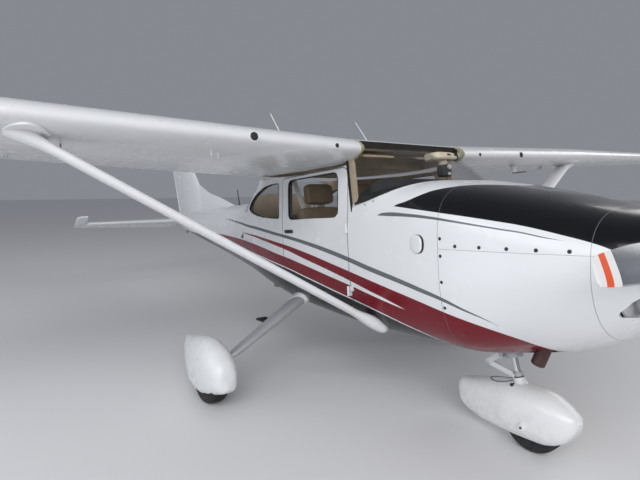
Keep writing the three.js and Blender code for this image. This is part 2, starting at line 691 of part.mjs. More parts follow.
function buildNoseBowl() {
  const part = box(BOWL_SEAM_X + SEAT_GAP, 1100, -900, 900, -900, 900);
  const hollow = lowerBody(26).intersect(box(700, 950, -900, 900, -900, 900));
  const inlet = easedShape([[130, -120], [130, 60], [290, 20], [330, -70], [250, -140]], 50);
  const inletHoles = bothSides(endPrism(inlet, 800, 1100));
  const lampRecess = box(826, 1100, -360, 360, -300, -190);
  const lampTray = lowerBody(40).intersect(box(830, 960, -345, 345, -312, -178));
  const shaftHole = rod(vec(800, 0, 0), vec(1100, 0, 0), 75, 75, 24);
  const bowl = bodySolid.intersect(part).subtract(hollow).subtract(inletHoles);
  return bowl.subtract(lampRecess).subtract(shaftHole).add(lampTray);
}

// Engine, firewall and exhaust

function buildFirewall() {
  return bodySolid.intersect(box(-FIREWALL_THICK, -SEAT_GAP, -900, 900, -900, 900));
}

function buildEngine() {
  const block = join(box(40, 560, -400, 400, ENGINE_LOW, 150), box(560, 740, -350, 350, -260, 88),
    box(740, 900, -130, 130, -110, 70));
  const mounts = [[-250, -200], [-250, 60], [250, -200], [250, 60]].map(([y, z]) => (
    box(0, 90, y - 25, y + 25, z - 25, z + 25)));
  const shaft = rod(vec(890, 0, 0), vec(HUB_BACK_X - SEAT_GAP, 0, 0), 45, 45, 20);
  return join(block, ...mounts, shaft);
}

function exhaustLine() {
  const { y, topX, bendZ, endX, endZ, radius, clear } = EXHAUST;
  const top = vec(topX, y, ENGINE_LOW - SEAT_GAP);
  return { top, bend: vec(topX, y, bendZ), end: vec(endX, y, endZ), radius, clear };
}

function buildExhaust() {
  const { top, bend, end, radius } = exhaustLine();
  const down = end.clone().sub(bend).setLength(12);
  return rod(top, bend.clone().add(vec(0, 0, -12)), radius, radius, 12).add(
    rod(bend.clone().sub(down), end, radius, radius, 12));
}

// Propeller

function buildPropeller() {
  const stations = [
    { r: 90, chord: 90, thick: 70, pitch: 45 },
    { r: 220, chord: 118, thick: 46, pitch: 36 },
    { r: 420, chord: 152, thick: 26, pitch: 27 },
    { r: 700, chord: 148, thick: 17, pitch: 19 },
    { r: 930, chord: 122, thick: 11, pitch: 15 },
    { r: 1015, chord: 92, thick: 8, pitch: 14 },
    { r: PROP_RADIUS, chord: 46, thick: 5, pitch: 14 },
  ];
  const blade = loft(stations.map(({ r, chord, thick, pitch }) => {
    const angle = THREE.MathUtils.degToRad(pitch);
    const across = vec(Math.cos(angle), 0, Math.sin(angle));
    const chordWay = vec(Math.sin(angle), 0, -Math.cos(angle));
    const nose = vec(PROP_X, r, 0).addScaledVector(chordWay, chord * 0.45);
    return bladeRing(nose, nose.clone().addScaledVector(chordWay, -chord), thick, across);
  }));
  const other = solidOf(geometryOf(blade).rotateX(Math.PI));
  const hub = rod(vec(HUB_BACK_X, 0, 0), vec(PROP_X + 60, 0, 0), 62, 62, 20);
  const barrel = rod(vec(PROP_X, -105, 0), vec(PROP_X, 105, 0), 46, 46, 16);
  return join(hub, barrel, blade, other);
}

function buildSpinner() {
  const rise = [0, 0.22, 0.45, 0.67, 0.86, 0.97, 1];
  const curve = (radius, length) => rise.map((f) => [radius * Math.sqrt(1 - f ** 2.2), f * length]);
  const turned = (points, x) => {
    const outline = points.map(([r, along]) => new THREE.Vector2(Math.max(r, 0), along));
    return solidOf(new THREE.LatheGeometry(outline, 24).rotateZ(-Math.PI / 2).translate(x, 0, 0));
  };
  const back = HUB_BACK_X + 4;
  const outside = turned([[0, 0], ...curve(SPINNER_RADIUS, SPINNER_LENGTH)], back);
  const inside = turned([[0, 0], ...curve(SPINNER_RADIUS - 8, SPINNER_LENGTH - 12)], back + 6);
  const bladeGap = box(back - 20, PROP_X + 66, -300, 300, -62, 62);
  const hubHole = rod(vec(back - 5, 0, 0), vec(back + 20, 0, 0), 62 + SEAT_GAP * 2, 62 + SEAT_GAP * 2, 20);
  return outside.subtract(inside).subtract(bladeGap).subtract(hubHole);
}

// Wings

const wholeWing = wingSolid();

function hingeLine(surface, drop) {
  return [surface.inner, surface.outer].map((y) => wingPoint(y, surface.chordAt, 0).add(vec(0, 0, -drop)));
}

function aileronSpace(gap) {
  const [from, to] = hingeLine(AILERON, 0);
  const radius = (y) => halfThickness(AILERON.chordAt, WING_THICKNESS) * wingStation(y).chord;
  return surfaceSpace(from, to, radius(AILERON.inner), radius(AILERON.outer), vec(-900, 0, 0), gap);
}

function flapSpace(gap) {
  const [from, to] = [FLAP.inner - gap, FLAP.outer + gap].map((y) => wingPoint(y, FLAP.chordAt, 0));
  const rings = [from, to].map((p) => [[gap, 300], [-900, 300], [-900, -300], [gap, -300]].map(([x, z]) => (
    p.clone().add(vec(x, 0, z)))));
  return loft(rings);
}

// The hollow of a wing surface between two places of the span, behind a fraction of the chord.
function wingCore(y0, y1, from) {
  return loft([y0, y1].map((y) => {
    const shrink = SKIN / (halfThickness(from, WING_THICKNESS) * wingStation(y).chord);
    const edge = (f, side) => wingPoint(y, f, side * Math.max(0.1, 1 - shrink * (f === from ? 1 : 2)));
    return [edge(from, 1), edge(0.87, 1), edge(0.93, 1), edge(0.93, -1), edge(0.87, -1), edge(from, -1)];
  }));
}

function buildWing() {
  const tongueReach = vec(110, 0, 0);
  const [aileronFrom, aileronTo] = hingeLine(AILERON, 0);
  const [flapFrom, flapTo] = hingeLine(FLAP, FLAP.hingeDrop);
  let wing = wholeWing.subtract(aileronSpace(RUNNING_GAP)).subtract(flapSpace(RUNNING_GAP));
  let aileron = wholeWing.intersect(aileronSpace(0));
  aileron = aileron.subtract(wingCore(AILERON.inner - 20, AILERON.outer - 60, 0.81));
  let flap = wholeWing.intersect(flapSpace(0)).subtract(wingCore(FLAP.inner - 20, FLAP.outer - 40, 0.76));
  [wing, aileron] = withTongues(wing, aileron, aileronFrom, aileronTo, [0.14, 0.86], 15, tongueReach);
  for (const place of [0.15, 0.85]) {
    const middle = flapFrom.clone().lerp(flapTo, place);
    const plate = (width, radius) => rod(middle.clone().add(vec(0, -width / 2, 0)),
      middle.clone().add(vec(0, width / 2, 0)), radius, radius, 48);
    const track = plate(TONGUE_WIDTH, FLAP_TRACK_RADIUS).intersect(wholeWing)
      .intersect(box(middle.x - 80, middle.x + 200, 0, 3000, 0, 2000));
    const slot = plate(TONGUE_WIDTH + 2 * RUNNING_GAP, (FLAP_TRACK_RADIUS + SEAT_GAP) / Math.cos(Math.PI / 48));
    wing = wing.add(track);
    flap = flap.subtract(slot);
  }
  return { wing, aileron, flap, aileronLine: [aileronFrom, aileronTo], flapLine: [flapFrom, flapTo] };
}

// Main struts

function streamRing(centre, along, chord, thick) {
  const forward = vec(1, 0, 0).addScaledVector(along, -along.x).normalize();
  const across = along.clone().cross(forward).normalize();
  const nose = centre.clone().addScaledVector(forward, chord / 2);
  return bladeRing(nose, nose.clone().addScaledVector(forward, -chord), thick, across);
}

function buildStrut() {
  const { low, high, chord, thick } = STRUT;
  const along = high.clone().sub(low).normalize();
  const total = high.distanceTo(low);
  const stations = [[0, 1.15, 1.5], [60, 1.22, 1.75], [190, 1.05, 1.15], [250, 1, 1], [total - 260, 1, 1],
    [total - 190, 1.08, 1.1], [total - 20, 1.7, 1.7], [total + 110, 1.9, 1.9]];
  const strut = loft(stations.map(([at, wide, deep]) => (
    streamRing(low.clone().addScaledVector(along, at), along, chord * wide, thick * deep))));
  return join(strut, eyePlate(WING_EYE)).subtract(seatedHull).subtract(moved(wholeWing, 0, 0, -SEAT_GAP))
    .subtract(wholeWing).subtract(moved(wholeWing, 0, 0, 40));
}

// Main gear

function buildMainLeg() {
  const hub = wheelCentre(MAIN_WHEEL, 1);
  const beside = (y) => hub.clone().add(vec(0, y, 0));
  const knee = hub.clone().add(LEG_KNEE);
  const along = knee.clone().sub(LEG_TOP).normalize();
  const length = knee.distanceTo(LEG_TOP);
  const stations = [[0, 150, 62], [120, 128, 52], [length - 40, 96, 44], [length + 30, 92, 44]];
  const leg = loft(stations.map(([at, chord, thick]) => (
    streamRing(LEG_TOP.clone().addScaledVector(along, at), along, chord, thick))));
  const axle = rod(beside(-150), beside(62), AXLE_RADIUS, AXLE_RADIUS, 16);
  const flange = rod(beside(-132), beside(-96), FLANGE_RADIUS, FLANGE_RADIUS, FLANGE_SIDES);
  const { front, rear, inner, outer, z, thick } = STEP;
  const tread = box(rear, front, inner, outer, z - thick / 2, z + thick / 2);
  const bracket = box(front - 50, front + 40, 770, 800, z, z + 26);
  return join(leg, axle, flange, tread, bracket).subtract(seatedHull);
}

// A wheel fairing's solid body, rounder above than below.
function pebble(rows, centre, steps = 16) {
  return loft(rows.map(({ x, half, top, bottom }) => {
    const middle = (top + bottom) / 2;
    const ring = [];
    for (let i = 0; i < steps; i += 1) {
      const angle = (i / steps) * Math.PI * 2;
      const square = Math.sin(angle) < 0 ? 3.5 : 2.3;
      ring.push(vec(centre.x + x, centre.y + half * power(Math.cos(angle), square),
        centre.z + middle + ((top - bottom) / 2) * power(Math.sin(angle), square)));
    }
    return ring;
  }));
}

// The space of a wheel in its fairing: narrower at the tread than at the side walls, and open below.
function wheelWell(centre, wheel) {
  const half = wheel.width / 2;
  const clear = wheel.radius + 14;
  const beside = (out) => centre.clone().add(vec(0, out, 0));
  const tread = rod(beside(-half * 0.65), beside(half * 0.65), clear, clear, 20);
  const walls = [-1, 1].map((way) => (
    rod(beside(way * (half + 12)), beside(way * half * 0.65), wheel.radius * 0.74, clear, 20)));
  const { x, y, z } = centre;
  const low = half + 6;
  const below = box(x - clear, x + clear, y - low, y + low, z - 500, z);
  return join(tread, ...walls, below);
}

function buildMainFairing() {
  const hub = wheelCentre(MAIN_WHEEL, 1);
  const [inner, outer] = [vec(hub.x, hub.y - 240, hub.z), vec(hub.x, hub.y - 90, hub.z)];
  const seat = FLANGE_RADIUS + SEAT_GAP;
  const legHole = rod(inner, outer, seat, seat, FLANGE_SIDES).add(
    box(hub.x - 51, hub.x + 51, inner.y, outer.y, hub.z, hub.z + 98));
  return pebble(MAIN_FAIRING, hub).subtract(wheelWell(hub, MAIN_WHEEL)).subtract(legHole);
}

function lathed(points, centre, sides) {
  const outline = points.map(([r, y]) => new THREE.Vector2(r, y));
  outline.push(outline[0].clone());
  const turned = new THREE.LatheGeometry(outline, sides).rotateY(NOSE_UP + Math.PI / sides);
  return solidOf(turned.translate(centre.x, centre.y, centre.z));
}

function buildTyre(wheel, centre) {
  const { radius, width, rim } = wheel;
  const half = width / 2;
  const outline = [[rim, 0.55], [rim + 14, 0.72], [radius * 0.76, 1], [radius * 0.96, 0.7], [radius, 0.25]];
  const near = outline.map(([r, share]) => [r, -half * share]);
  const far = outline.slice().reverse().map(([r, share]) => [r, half * share]);
  return lathed([...near, ...far], centre, WHEEL_SIDES);
}

function buildRim(wheel, centre) {
  const { width, rim } = wheel;
  const half = width / 2;
  const bore = AXLE_RADIUS + SEAT_GAP + 0.3;
  const outline = [[bore, 0.62], [rim * 0.5, 0.62], [rim * 0.62, 0.22], [rim - SEAT_GAP, 0.56]];
  const near = outline.map(([r, share]) => [r, -half * share]);
  const far = outline.slice().reverse().map(([r, share]) => [r, half * share]);
  return lathed([...near, ...far], centre, WHEEL_SIDES);
}

// Nose gear: a fixed cylinder from the firewall, and the steered piston, fork, fairing and wheel

function steerRod(from, to, radius) {
  const [start, end] = [from, to].map((at) => STEER_TOP.clone().addScaledVector(STEER_WAY, at));
  return rod(start, end, radius, radius, 16);
}

function buildNoseCylinder() {
  const { cylinder, piston, cylinderFrom, cylinderTo } = NOSE_LEG;
  const foot = box(SEAT_GAP, 60, -80, 80, -560, -430);
  const bore = steerRod(20, cylinderTo + 50, piston + 1);
  const ahead = box(SEAT_GAP, 900, -900, 900, -1000, 0);
  return join(steerRod(cylinderFrom, cylinderTo, cylinder), foot).intersect(ahead).subtract(bore);
}

// The outside of the fork's arch over the tyre, in y and z, grown for its space in the fairing.
function forkArch(grow, rear, front) {
  const half = [[105 + grow, -35 - grow], [105 + grow, 130], [66 + grow, 190 + grow], [40 + grow, 207 + grow]];
  return mirroredPrism(half, rear - grow, front + grow);
}

function mirroredPrism(half, x0, x1) {
  const port = half.map(([y, up]) => [y, NOSE_HUB.z + up]);
  const starboard = port.slice().reverse().map(([y, z]) => [-y, z]);
  return endPrism(shapeOf([...port, ...starboard]), x0, x1);
}

function forkCrown(grow) {
  const { crownRear, front } = FORK_SPAN;
  const [low, high] = [NOSE_HUB.z + 188 - grow, NOSE_HUB.z + 207 + grow];
  return box(crownRear - grow, front + grow, -40 - grow, 40 + grow, low, high);
}

function buildNoseFork() {
  const { x, z } = NOSE_HUB;
  const { cylinder, ringFrom, ringTo, collarFrom, collarTo, pistonTo } = NOSE_LEG;
  const piston = steerRod(40, pistonTo, NOSE_LEG.piston);
  const ringBore = steerRod(ringFrom - 9, ringTo + 9, cylinder + 1);
  const ring = steerRod(ringFrom, ringTo, cylinder + 11).subtract(ringBore);
  const collar = steerRod(collarFrom, collarTo, NOSE_LEG.collar);
  const under = mirroredPrism([[84, -36], [84, 135], [50, 188]], FORK_SPAN.rear - 1, FORK_SPAN.front + 1);
  const arch = forkArch(0, FORK_SPAN.rear, FORK_SPAN.front).subtract(under);
  const axle = rod(vec(x, -135, z), vec(x, 135, z), AXLE_RADIUS, AXLE_RADIUS, 16);
  const link = sidePrism(shapeOf([[41, -690], [-10, -716], [-98, -788], [-92, -800], [104, -843],
    [104, -821], [-72, -786], [0, -728], [41, -712]]), -14, 14);
  return join(piston, collar, ring.add(link), arch, forkCrown(0), axle);
}

function buildNoseFairing() {
  const { x, z } = NOSE_HUB;
  const forkSpace = forkArch(2, FORK_SPAN.rear, FORK_SPAN.front).add(forkCrown(2));
  const axleHole = rod(vec(x, -136, z), vec(x, 136, z), AXLE_RADIUS + 1, AXLE_RADIUS + 1, 16);
  const pistonHole = steerRod(NOSE_LEG.collarFrom, NOSE_LEG.pistonTo + 6, NOSE_LEG.piston + 3);
  const body = pebble(NOSE_FAIRING, NOSE_HUB).subtract(wheelWell(NOSE_HUB, NOSE_WHEEL));
  return body.subtract(forkSpace).subtract(axleHole).subtract(pistonHole);
}

// Tail

function finSolid(grow) {
  const rows = FIN_SECTIONS.map(({ z, nose, tail, thick }) => (
    bladeRing(vec(nose, 0, z), vec(tail, 0, z), thick + 2 * grow, vec(0, 1, 0))));
  return loft(rows);
}

function rudderSpace(gap) {
  const { low, high } = RUDDER_HINGE;
  return surfaceSpace(vec(low.x, 0, low.z), vec(high.x, 0, high.z), 42, 20, vec(-900, 0, 0), gap);
}

function buildFinAndRudder() {
  const { low, high } = RUDDER_HINGE;
  const [from, to] = [vec(low.x, 0, low.z), vec(high.x, 0, high.z)];
  const lowRings = [[112, -6200, -6660], [250, -6200, -6705]].map(([z, nose, tail]) => (
    bladeRing(vec(nose, 0, z), vec(tail, 0, z), 92, vec(0, 1, 0))));
  const lowPart = loft(lowRings);
  const whole = finSolid(0);
  const dorsal = sidePrism(shapeOf([[-3980, 405], [-4500, 560], [-4930, 645], [-5330, 800], [-5900, 800],
    [-5900, 300], [-3980, 300]]), -13, 13);
  const upright = vec(0, 1, 0);
  const hingeAt = (z) => low.x + ((z - low.z) / (high.z - low.z)) * (high.x - low.x);
  const section = ({ z, nose, tail, thick }, front, rear) => {
    const along = (x) => (nose - x) / (nose - tail);
    return { nose: vec(nose, 0, z), tail: vec(tail, 0, z), thick, from: along(front), to: along(rear) };
  };
  const [rootRow, middleRow, topRow] = FIN_SECTIONS;
  const finCore = skinCore([rootRow, middleRow, { ...topRow, z: topRow.z - 20 }].map((row) => (
    section(row, row.nose - 30, hingeAt(row.z) + 60))), upright);
  const footRow = { z: 60, nose: -6200, tail: -6640, thick: 92 };
  const rudderCore = skinCore([footRow, { ...rootRow, nose: -6120 }, middleRow, { ...topRow, z: topRow.z - 60 }]
    .map((row) => section(row, hingeAt(row.z) - 55, row.tail + 60)), upright);
  const finOutside = join(whole, dorsal).subtract(seatedBody);
  const finFull = finOutside.subtract(finCore).subtract(rudderSpace(RUNNING_GAP));
  const rudderFull = join(whole, lowPart).intersect(rudderSpace(0)).subtract(rudderCore);
  const reach = vec(95, 0, 30);
  return withTongues(finFull, rudderFull, from, to, [0.3, 0.76], 14, reach);
}

// The stabiliser's section at a place of the span: nose, tail and thickness.
function stabiliserStation(y) {
  const { rootNose, tipNose, rootTail, tipTail, tip, thick } = STABILISER;
  const share = y / (tip - 90);
  return {
    nose: rootNose + (tipNose - rootNose) * share,
    tail: rootTail + (tipTail - rootTail) * share,
    thick: thick * (1 - 0.38 * share),
  };
}

function stabiliserSolid() {
  const { z, tip, thick } = STABILISER;
  const last = stabiliserStation(tip - 90);
  const cap = { nose: last.nose - 70, tail: last.tail + 30, thick: thick * 0.3 };
  const rows = [[0, stabiliserStation(0)], [tip - 90, last], [tip, cap]];
  return loft(rows.map(([y, { nose, tail, thick: depth }]) => (
    bladeRing(vec(nose, y, z), vec(tail, y, z), depth, vec(0, 0, 1)))));
}

// The space of the elevator, with the horn at its outer end that reaches forward to the nose.
function elevatorSpace(gap) {
  const { hinge, tip, z, thick } = STABILISER;
  const [from, to] = [vec(hinge, 130, z), vec(hinge, tip + 40, z)];
  const horn = box(-7000, -5000, HORN_Y - gap, tip + 60, z - 200, z + 200);
  return surfaceSpace(from, to, thick * 0.36, thick * 0.21, vec(-900, 0, 0), gap).add(horn);
}

function buildStabiliser() {
  const { hinge, z, rootTail } = STABILISER;
  const inner = planPrism(shapeOf([[hinge + 200, 0], [hinge + 200, 132], [hinge, 132], [rootTail - 60, 225],
    [rootTail - 60, 0]]), z - 200, z + 200);
  const up = vec(0, 0, 1);
  const section = (y, front, rear) => {
    const { nose, tail, thick } = stabiliserStation(y);
    const along = (x) => (nose - x) / (nose - tail);
    return { nose: vec(nose, y, z), tail: vec(tail, y, z), thick, from: along(front ?? nose - 28),
      to: along(rear ?? tail + 60) };
  };
  const [fixedEnd, movingEnd] = [HORN_Y - RUNNING_GAP - 14, HORN_Y - 40];
  const fixedCore = skinCore([section(0, null, hinge + 65), section(fixedEnd, null, hinge + 65)], up);
  const movingCore = skinCore([section(100, hinge - 48), section(movingEnd, hinge - 48)], up);
  const whole = stabiliserSolid();
  const rootCut = box(-7000, hinge + 30, -1, 140, z - 200, z + 200);
  const fixedFull = whole.subtract(fixedCore).subtract(elevatorSpace(RUNNING_GAP)).subtract(seatedHull);
  const movingFull = whole.intersect(elevatorSpace(0)).subtract(movingCore).subtract(inner);
  const [from, to] = [vec(hinge, 130, z), vec(hinge, HORN_Y, z)];
  return withTongues(fixedFull.subtract(rootCut), movingFull, from, to, [0.2, 0.85], 12, vec(95, 0, 0));
}

function buildTorqueTube() {
  const { hinge, z } = STABILISER;
  return rod(vec(hinge, -132, z), vec(hinge, 132, z), 20, 20, 20);
}

// Cabin fittings

function buildFloor() {
  return box(-2700, -40, -600, 600, FLOOR_TOP - 30, FLOOR_TOP).intersect(cabinLining);
}

function buildBulkhead() {
  return box(-2750, -2738, -600, 600, -600, 600).intersect(cabinLining);
}

function buildPanel() {
  const face = shapeOf([[-560, -60], [-560, 270], [-500, 330], [-300, 345], [-200, 330], [-200, 250],
    [-480, 230], [-480, -60]]);
  return sidePrism(face, -600, 600).intersect(cabinLining);
}

// A cushion with eased edges, drawn from the side and centred on a place across the cabin.
function cushionOf(corners, ease, y, half) {
  return sidePrism(easedShape(corners, ease), y - half, y + half);
}

function buildFrontSeat(side) {
  const y = 265 * side;
  const cushion = cushionOf([[-1010, -250], [-1000, -120], [-1480, -160], [-1500, -300]], 45, y, 225);
  const back = cushionOf([[-1430, -270], [-1560, 300], [-1660, 290], [-1560, -290]], 40, y, 215);
  const head = cushionOf([[-1560, 330], [-1585, 470], [-1665, 460], [-1650, 320]], 30, y, 120);
  const neck = box(-1640, -1580, y - 60, y + 60, 250, 360);
  const base = box(-1480, -1060, y - 120, y + 120, FLOOR_TOP + SEAT_GAP, -230);
  return join(cushion, back, head, neck, base);
}

function buildRearSeat() {
  const cushion = cushionOf([[-1900, -280], [-1890, -150], [-2300, -180], [-2330, -300]], 45, 0, 440);
  const back = cushionOf([[-2270, -280], [-2400, 260], [-2490, 250], [-2390, -290]], 40, 0, 425);
  const base = box(-2330, -1960, -380, 380, FLOOR_TOP + SEAT_GAP, -260);
  return join(cushion, back, base).intersect(cabinLining);
}

// Assembly

const sides = [{ name: 'left', side: 1 }, { name: 'right', side: -1 }];
const handed = (solid, side) => (side > 0 ? solid : mirrored(solid));
const handedPoint = (point, side) => vec(point.x, point.y * side, point.z);
const yAxis = vec(0, 1, 0);

mesh(airframe, 'cabin_shell', buildCabin(), 'white');
mesh(airframe, 'roof', buildRoof(), 'white');
mesh(airframe, 'windshield', buildWindshield(), 'glass');
mesh(airframe, 'rear_window', buildRearWindow(), 'glass');
mesh(airframe, 'tailcone', buildTailcone(), 'white');
mesh(airframe, 'firewall', buildFirewall(), 'steel');
mesh(airframe, 'cowl_upper', buildCowl(true), 'white');
mesh(airframe, 'cowl_lower', buildCowl(false), 'white');
mesh(airframe, 'nose_bowl', buildNoseBowl(), 'resin');
mesh(airframe, 'engine_block', buildEngine(), 'iron');
mesh(airframe, 'exhaust_pipe', buildExhaust(), 'steel');
mesh(airframe, 'cabin_floor', buildFloor(), 'carpet');
mesh(airframe, 'baggage_bulkhead', buildBulkhead(), 'carpet');
mesh(airframe, 'instrument_panel', buildPanel(), 'panel');
mesh(airframe, 'rear_bench', buildRearSeat(), 'leather');
mesh(airframe, 'nose_cylinder', buildNoseCylinder(), 'steel');

const propeller = movingGroup('propeller_spin', vec(PROP_X, 0, 0), vec(1, 0, 0));
mesh(propeller, 'propeller', buildPropeller(), 'metal');
mesh(propeller, 'spinner', buildSpinner(), 'white');

const baggageDoor = movingGroup('baggage_door_hinge', vec(BAGGAGE_HINGE.x, BAGGAGE_HINGE.y, 0), vec(0, 0, -1));
mesh(baggageDoor, 'baggage_door', buildBaggageDoor(), 'white');

const steering = movingGroup('nose_wheel_steering', STEER_LOW, STEER_WAY.clone().negate());
mesh(steering, 'nose_fork', buildNoseFork(), 'steel');
mesh(steering, 'nose_fairing', buildNoseFairing(), 'resin');
const noseWheel = movingGroup('nose_wheel_spin', NOSE_HUB, yAxis, steering);
mesh(noseWheel, 'nose_tyre', buildTyre(NOSE_WHEEL, NOSE_HUB), 'rubber');
mesh(noseWheel, 'nose_rim', buildRim(NOSE_WHEEL, NOSE_HUB), 'metal');

const [fin, rudder] = buildFinAndRudder();
mesh(airframe, 'fin', fin, 'white');
const rudderGroup = movingGroup('rudder_hinge', vec(RUDDER_HINGE.low.x, 0, RUDDER_HINGE.low.z),
  vec(RUDDER_HINGE.high.x - RUDDER_HINGE.low.x, 0, RUDDER_HINGE.high.z - RUDDER_HINGE.low.z));
mesh(rudderGroup, 'rudder', rudder, 'white');
rudderGroup.quaternion.setFromAxisAngle(rudderGroup.userData.axis, -RUDDER_TURN);

const [stabiliser, elevator] = buildStabiliser();
const elevatorGroup = movingGroup('elevator_hinge', vec(STABILISER.hinge, 0, STABILISER.z), yAxis);
mesh(elevatorGroup, 'elevator_torque_tube', buildTorqueTube(), 'steel');
elevatorGroup.rotation.y = -ELEVATOR_DROOP;

const wingParts = buildWing();
const strut = buildStrut();
const mainLeg = buildMainLeg();
const mainFairing = buildMainFairing();

for (const { name, side } of sides) {
  mesh(airframe, `wing_${name}`, handed(wingParts.wing, side), 'white');
  mesh(airframe, `wing_strut_${name}`, handed(strut, side), 'white');
  mesh(airframe, `stabiliser_${name}`, handed(stabiliser, side), 'white');
  mesh(airframe, `main_leg_${name}`, handed(mainLeg, side), 'white');
  mesh(airframe, `main_fairing_${name}`, handed(mainFairing, side), 'resin');
  mesh(airframe, `side_window_${name}`, buildPane(sideWindowSpace(-SEAT_GAP), side), 'glass');
  mesh(airframe, `front_seat_${name}`, buildFrontSeat(side), 'leather');
  mesh(elevatorGroup, `elevator_${name}`, handed(elevator, side), 'white');

  for (const [surface, line] of [['aileron', wingParts.aileronLine], ['flap', wingParts.flapLine]]) {
    const [from, to] = line.map((p) => handedPoint(p, side));
    const group = movingGroup(`${surface}_${name}_hinge`, from, to.clone().sub(from).multiplyScalar(side));
    mesh(group, `${surface}_${name}`, handed(wingParts[surface], side), 'white');
  }

  const door = movingGroup(`door_${name}_hinge`, vec(DOOR_HINGE.x, DOOR_HINGE.y * side, 0), vec(0, 0, -side));
  mesh(door, `door_${name}`, buildDoor(side), 'white');
  mesh(door, `door_window_${name}`, buildPane(frameShape(DOOR_WINDOW, -SEAT_GAP), side), 'glass');

  const hub = wheelCentre(MAIN_WHEEL, side);
  const wheel = movingGroup(`main_wheel_${name}_spin`, hub, yAxis);
  mesh(wheel, `main_tyre_${name}`, buildTyre(MAIN_WHEEL, hub), 'rubber');
  mesh(wheel, `main_rim_${name}`, buildRim(MAIN_WHEEL, hub), 'metal');
}

const aircraft = new THREE.Group();
aircraft.add(airframe);
aircraft.updateMatrixWorld(true);
const extent = new THREE.Box3().setFromObject(aircraft, true);
aircraft.position.x = -(extent.min.x + extent.max.x) / 2;

export default aircraft;
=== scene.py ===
# The looks of a four-seat, high-wing, strut-braced light aircraft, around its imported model.
# Shapes are drawn in airframe millimetres: x forward from the firewall, y to port, z up from the
# propeller shaft. The last step of each piece turns them nose-up and into the row frame, in metres.
import math

import bpy
import numpy as np
from mathutils import Matrix, Vector


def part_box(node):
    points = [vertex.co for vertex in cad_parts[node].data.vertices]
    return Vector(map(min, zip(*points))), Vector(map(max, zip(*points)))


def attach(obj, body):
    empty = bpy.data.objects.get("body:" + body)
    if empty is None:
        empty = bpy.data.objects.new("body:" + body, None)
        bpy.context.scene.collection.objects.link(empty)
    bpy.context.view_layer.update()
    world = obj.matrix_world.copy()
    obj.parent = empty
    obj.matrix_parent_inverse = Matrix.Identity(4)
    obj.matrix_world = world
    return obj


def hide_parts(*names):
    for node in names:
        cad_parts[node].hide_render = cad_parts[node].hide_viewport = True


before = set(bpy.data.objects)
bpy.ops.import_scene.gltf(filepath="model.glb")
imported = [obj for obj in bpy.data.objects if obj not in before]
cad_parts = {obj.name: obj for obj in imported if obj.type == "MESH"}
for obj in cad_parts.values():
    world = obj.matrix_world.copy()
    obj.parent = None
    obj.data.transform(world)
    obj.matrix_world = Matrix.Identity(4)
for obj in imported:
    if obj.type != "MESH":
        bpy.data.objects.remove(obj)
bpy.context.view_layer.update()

# Stance
MM = 0.001
NOSE_UP = math.radians(4.6)
COS_UP = math.cos(NOSE_UP)
SIN_UP = math.sin(NOSE_UP)
SHAFT_HEIGHT = 1.244
MAIN_WHEEL_BACK = 1.42
TYRE_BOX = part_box("main_tyre_left")
SHIFT = (TYRE_BOX[0].x + TYRE_BOX[1].x) / 2 + MAIN_WHEEL_BACK
SEAT_GAP = 0.3
RUNNING_GAP = 6

# Body stations and sections: station, half width, top, bottom, height of the widest point, and how
# square the corners are above and below it (2 is an ellipse)
WALL = 40
SHEET = 12
BOWL_SEAM_X = 760
COWL_SPLIT = (-2, -19)
CABIN_REAR_X = -2760
TAIL_END_X = -6200
BODY_SECTIONS = [
    (-6200, 84, 400, 112, 250, 2.2, 2.1),
    (-5200, 190, 408, -50, 190, 2.4, 2.2),
    (-3700, 348, 412, -285, 110, 2.7, 2.4),
    (-2900, 448, 418, -415, 60, 3.0, 2.6),
    (-2350, 515, 422, -520, 20, 3.4, 2.9),
    (-1800, 562, 425, -592, 0, 4.0, 3.2),
    (-800, 568, 425, -655, 0, 4.2, 3.4),
    (-230, 572, 412, -653, 0, 4.0, 3.2),
    (0, 568, 378, -665, -10, 3.6, 3.0),
    (400, 518, 292, -602, -40, 3.0, 2.4),
    (760, 445, 197, -465, -75, 2.7, 2.3),
    (900, 400, 165, -355, -70, 2.5, 2.2),
    (972, 320, 130, -250, -60, 2.2, 2.2),
    (992, 190, 85, -165, -50, 2.1, 2.1),
]

# Window band: height, half width beside the doors, half width at the rear pillar, foremost point,
# rearmost point, where the front curve starts, and how square the front curve is
BAND_SECTIONS = [
    (0, 563, 505, 260, -3600, -900, 2.5),
    (210, 557, 500, 40, -3300, -900, 2.5),
    (410, 548, 480, -205, -3010, -900, 2.5),
    (600, 537, 455, -530, -2480, -870, 3.2),
    (720, 530, 450, -735, -2420, -850, 5),
    (800, 526, 445, -800, -2410, -845, 6),
]
BAND_STRAIGHT_X = -1800
BAND_PILLAR_X = -2350
BAND_REAR_SQUARE = 2.2

# Doors and windows, as outlines in x and z
DOOR = (-1770, -822, -462, 560, 70)
DOOR_WINDOW = (-1660, -945, 198, 530, 60)
BAGGAGE_DOOR = (-2600, -2190, -215, 165, 40)
DOOR_GAP = 6
SIDE_WINDOW = [
    (-1838, 208), (-1836, 524), (-1940, 529), (-2064, 530), (-2218, 519), (-2350, 490), (-2450, 450),
    (-2545, 401),
    (-2594, 352), (-2588, 316), (-2510, 282), (-2381, 251), (-2200, 228), (-2002, 213),
]
SIDE_WINDOW_EASE = 30
DOOR_HINGE = (-825, 580, (-330, 120))
BAGGAGE_HINGE = (-2193, 548, (-120, 70))
HINGE_RADIUS = 9
HINGE_LENGTH = 70

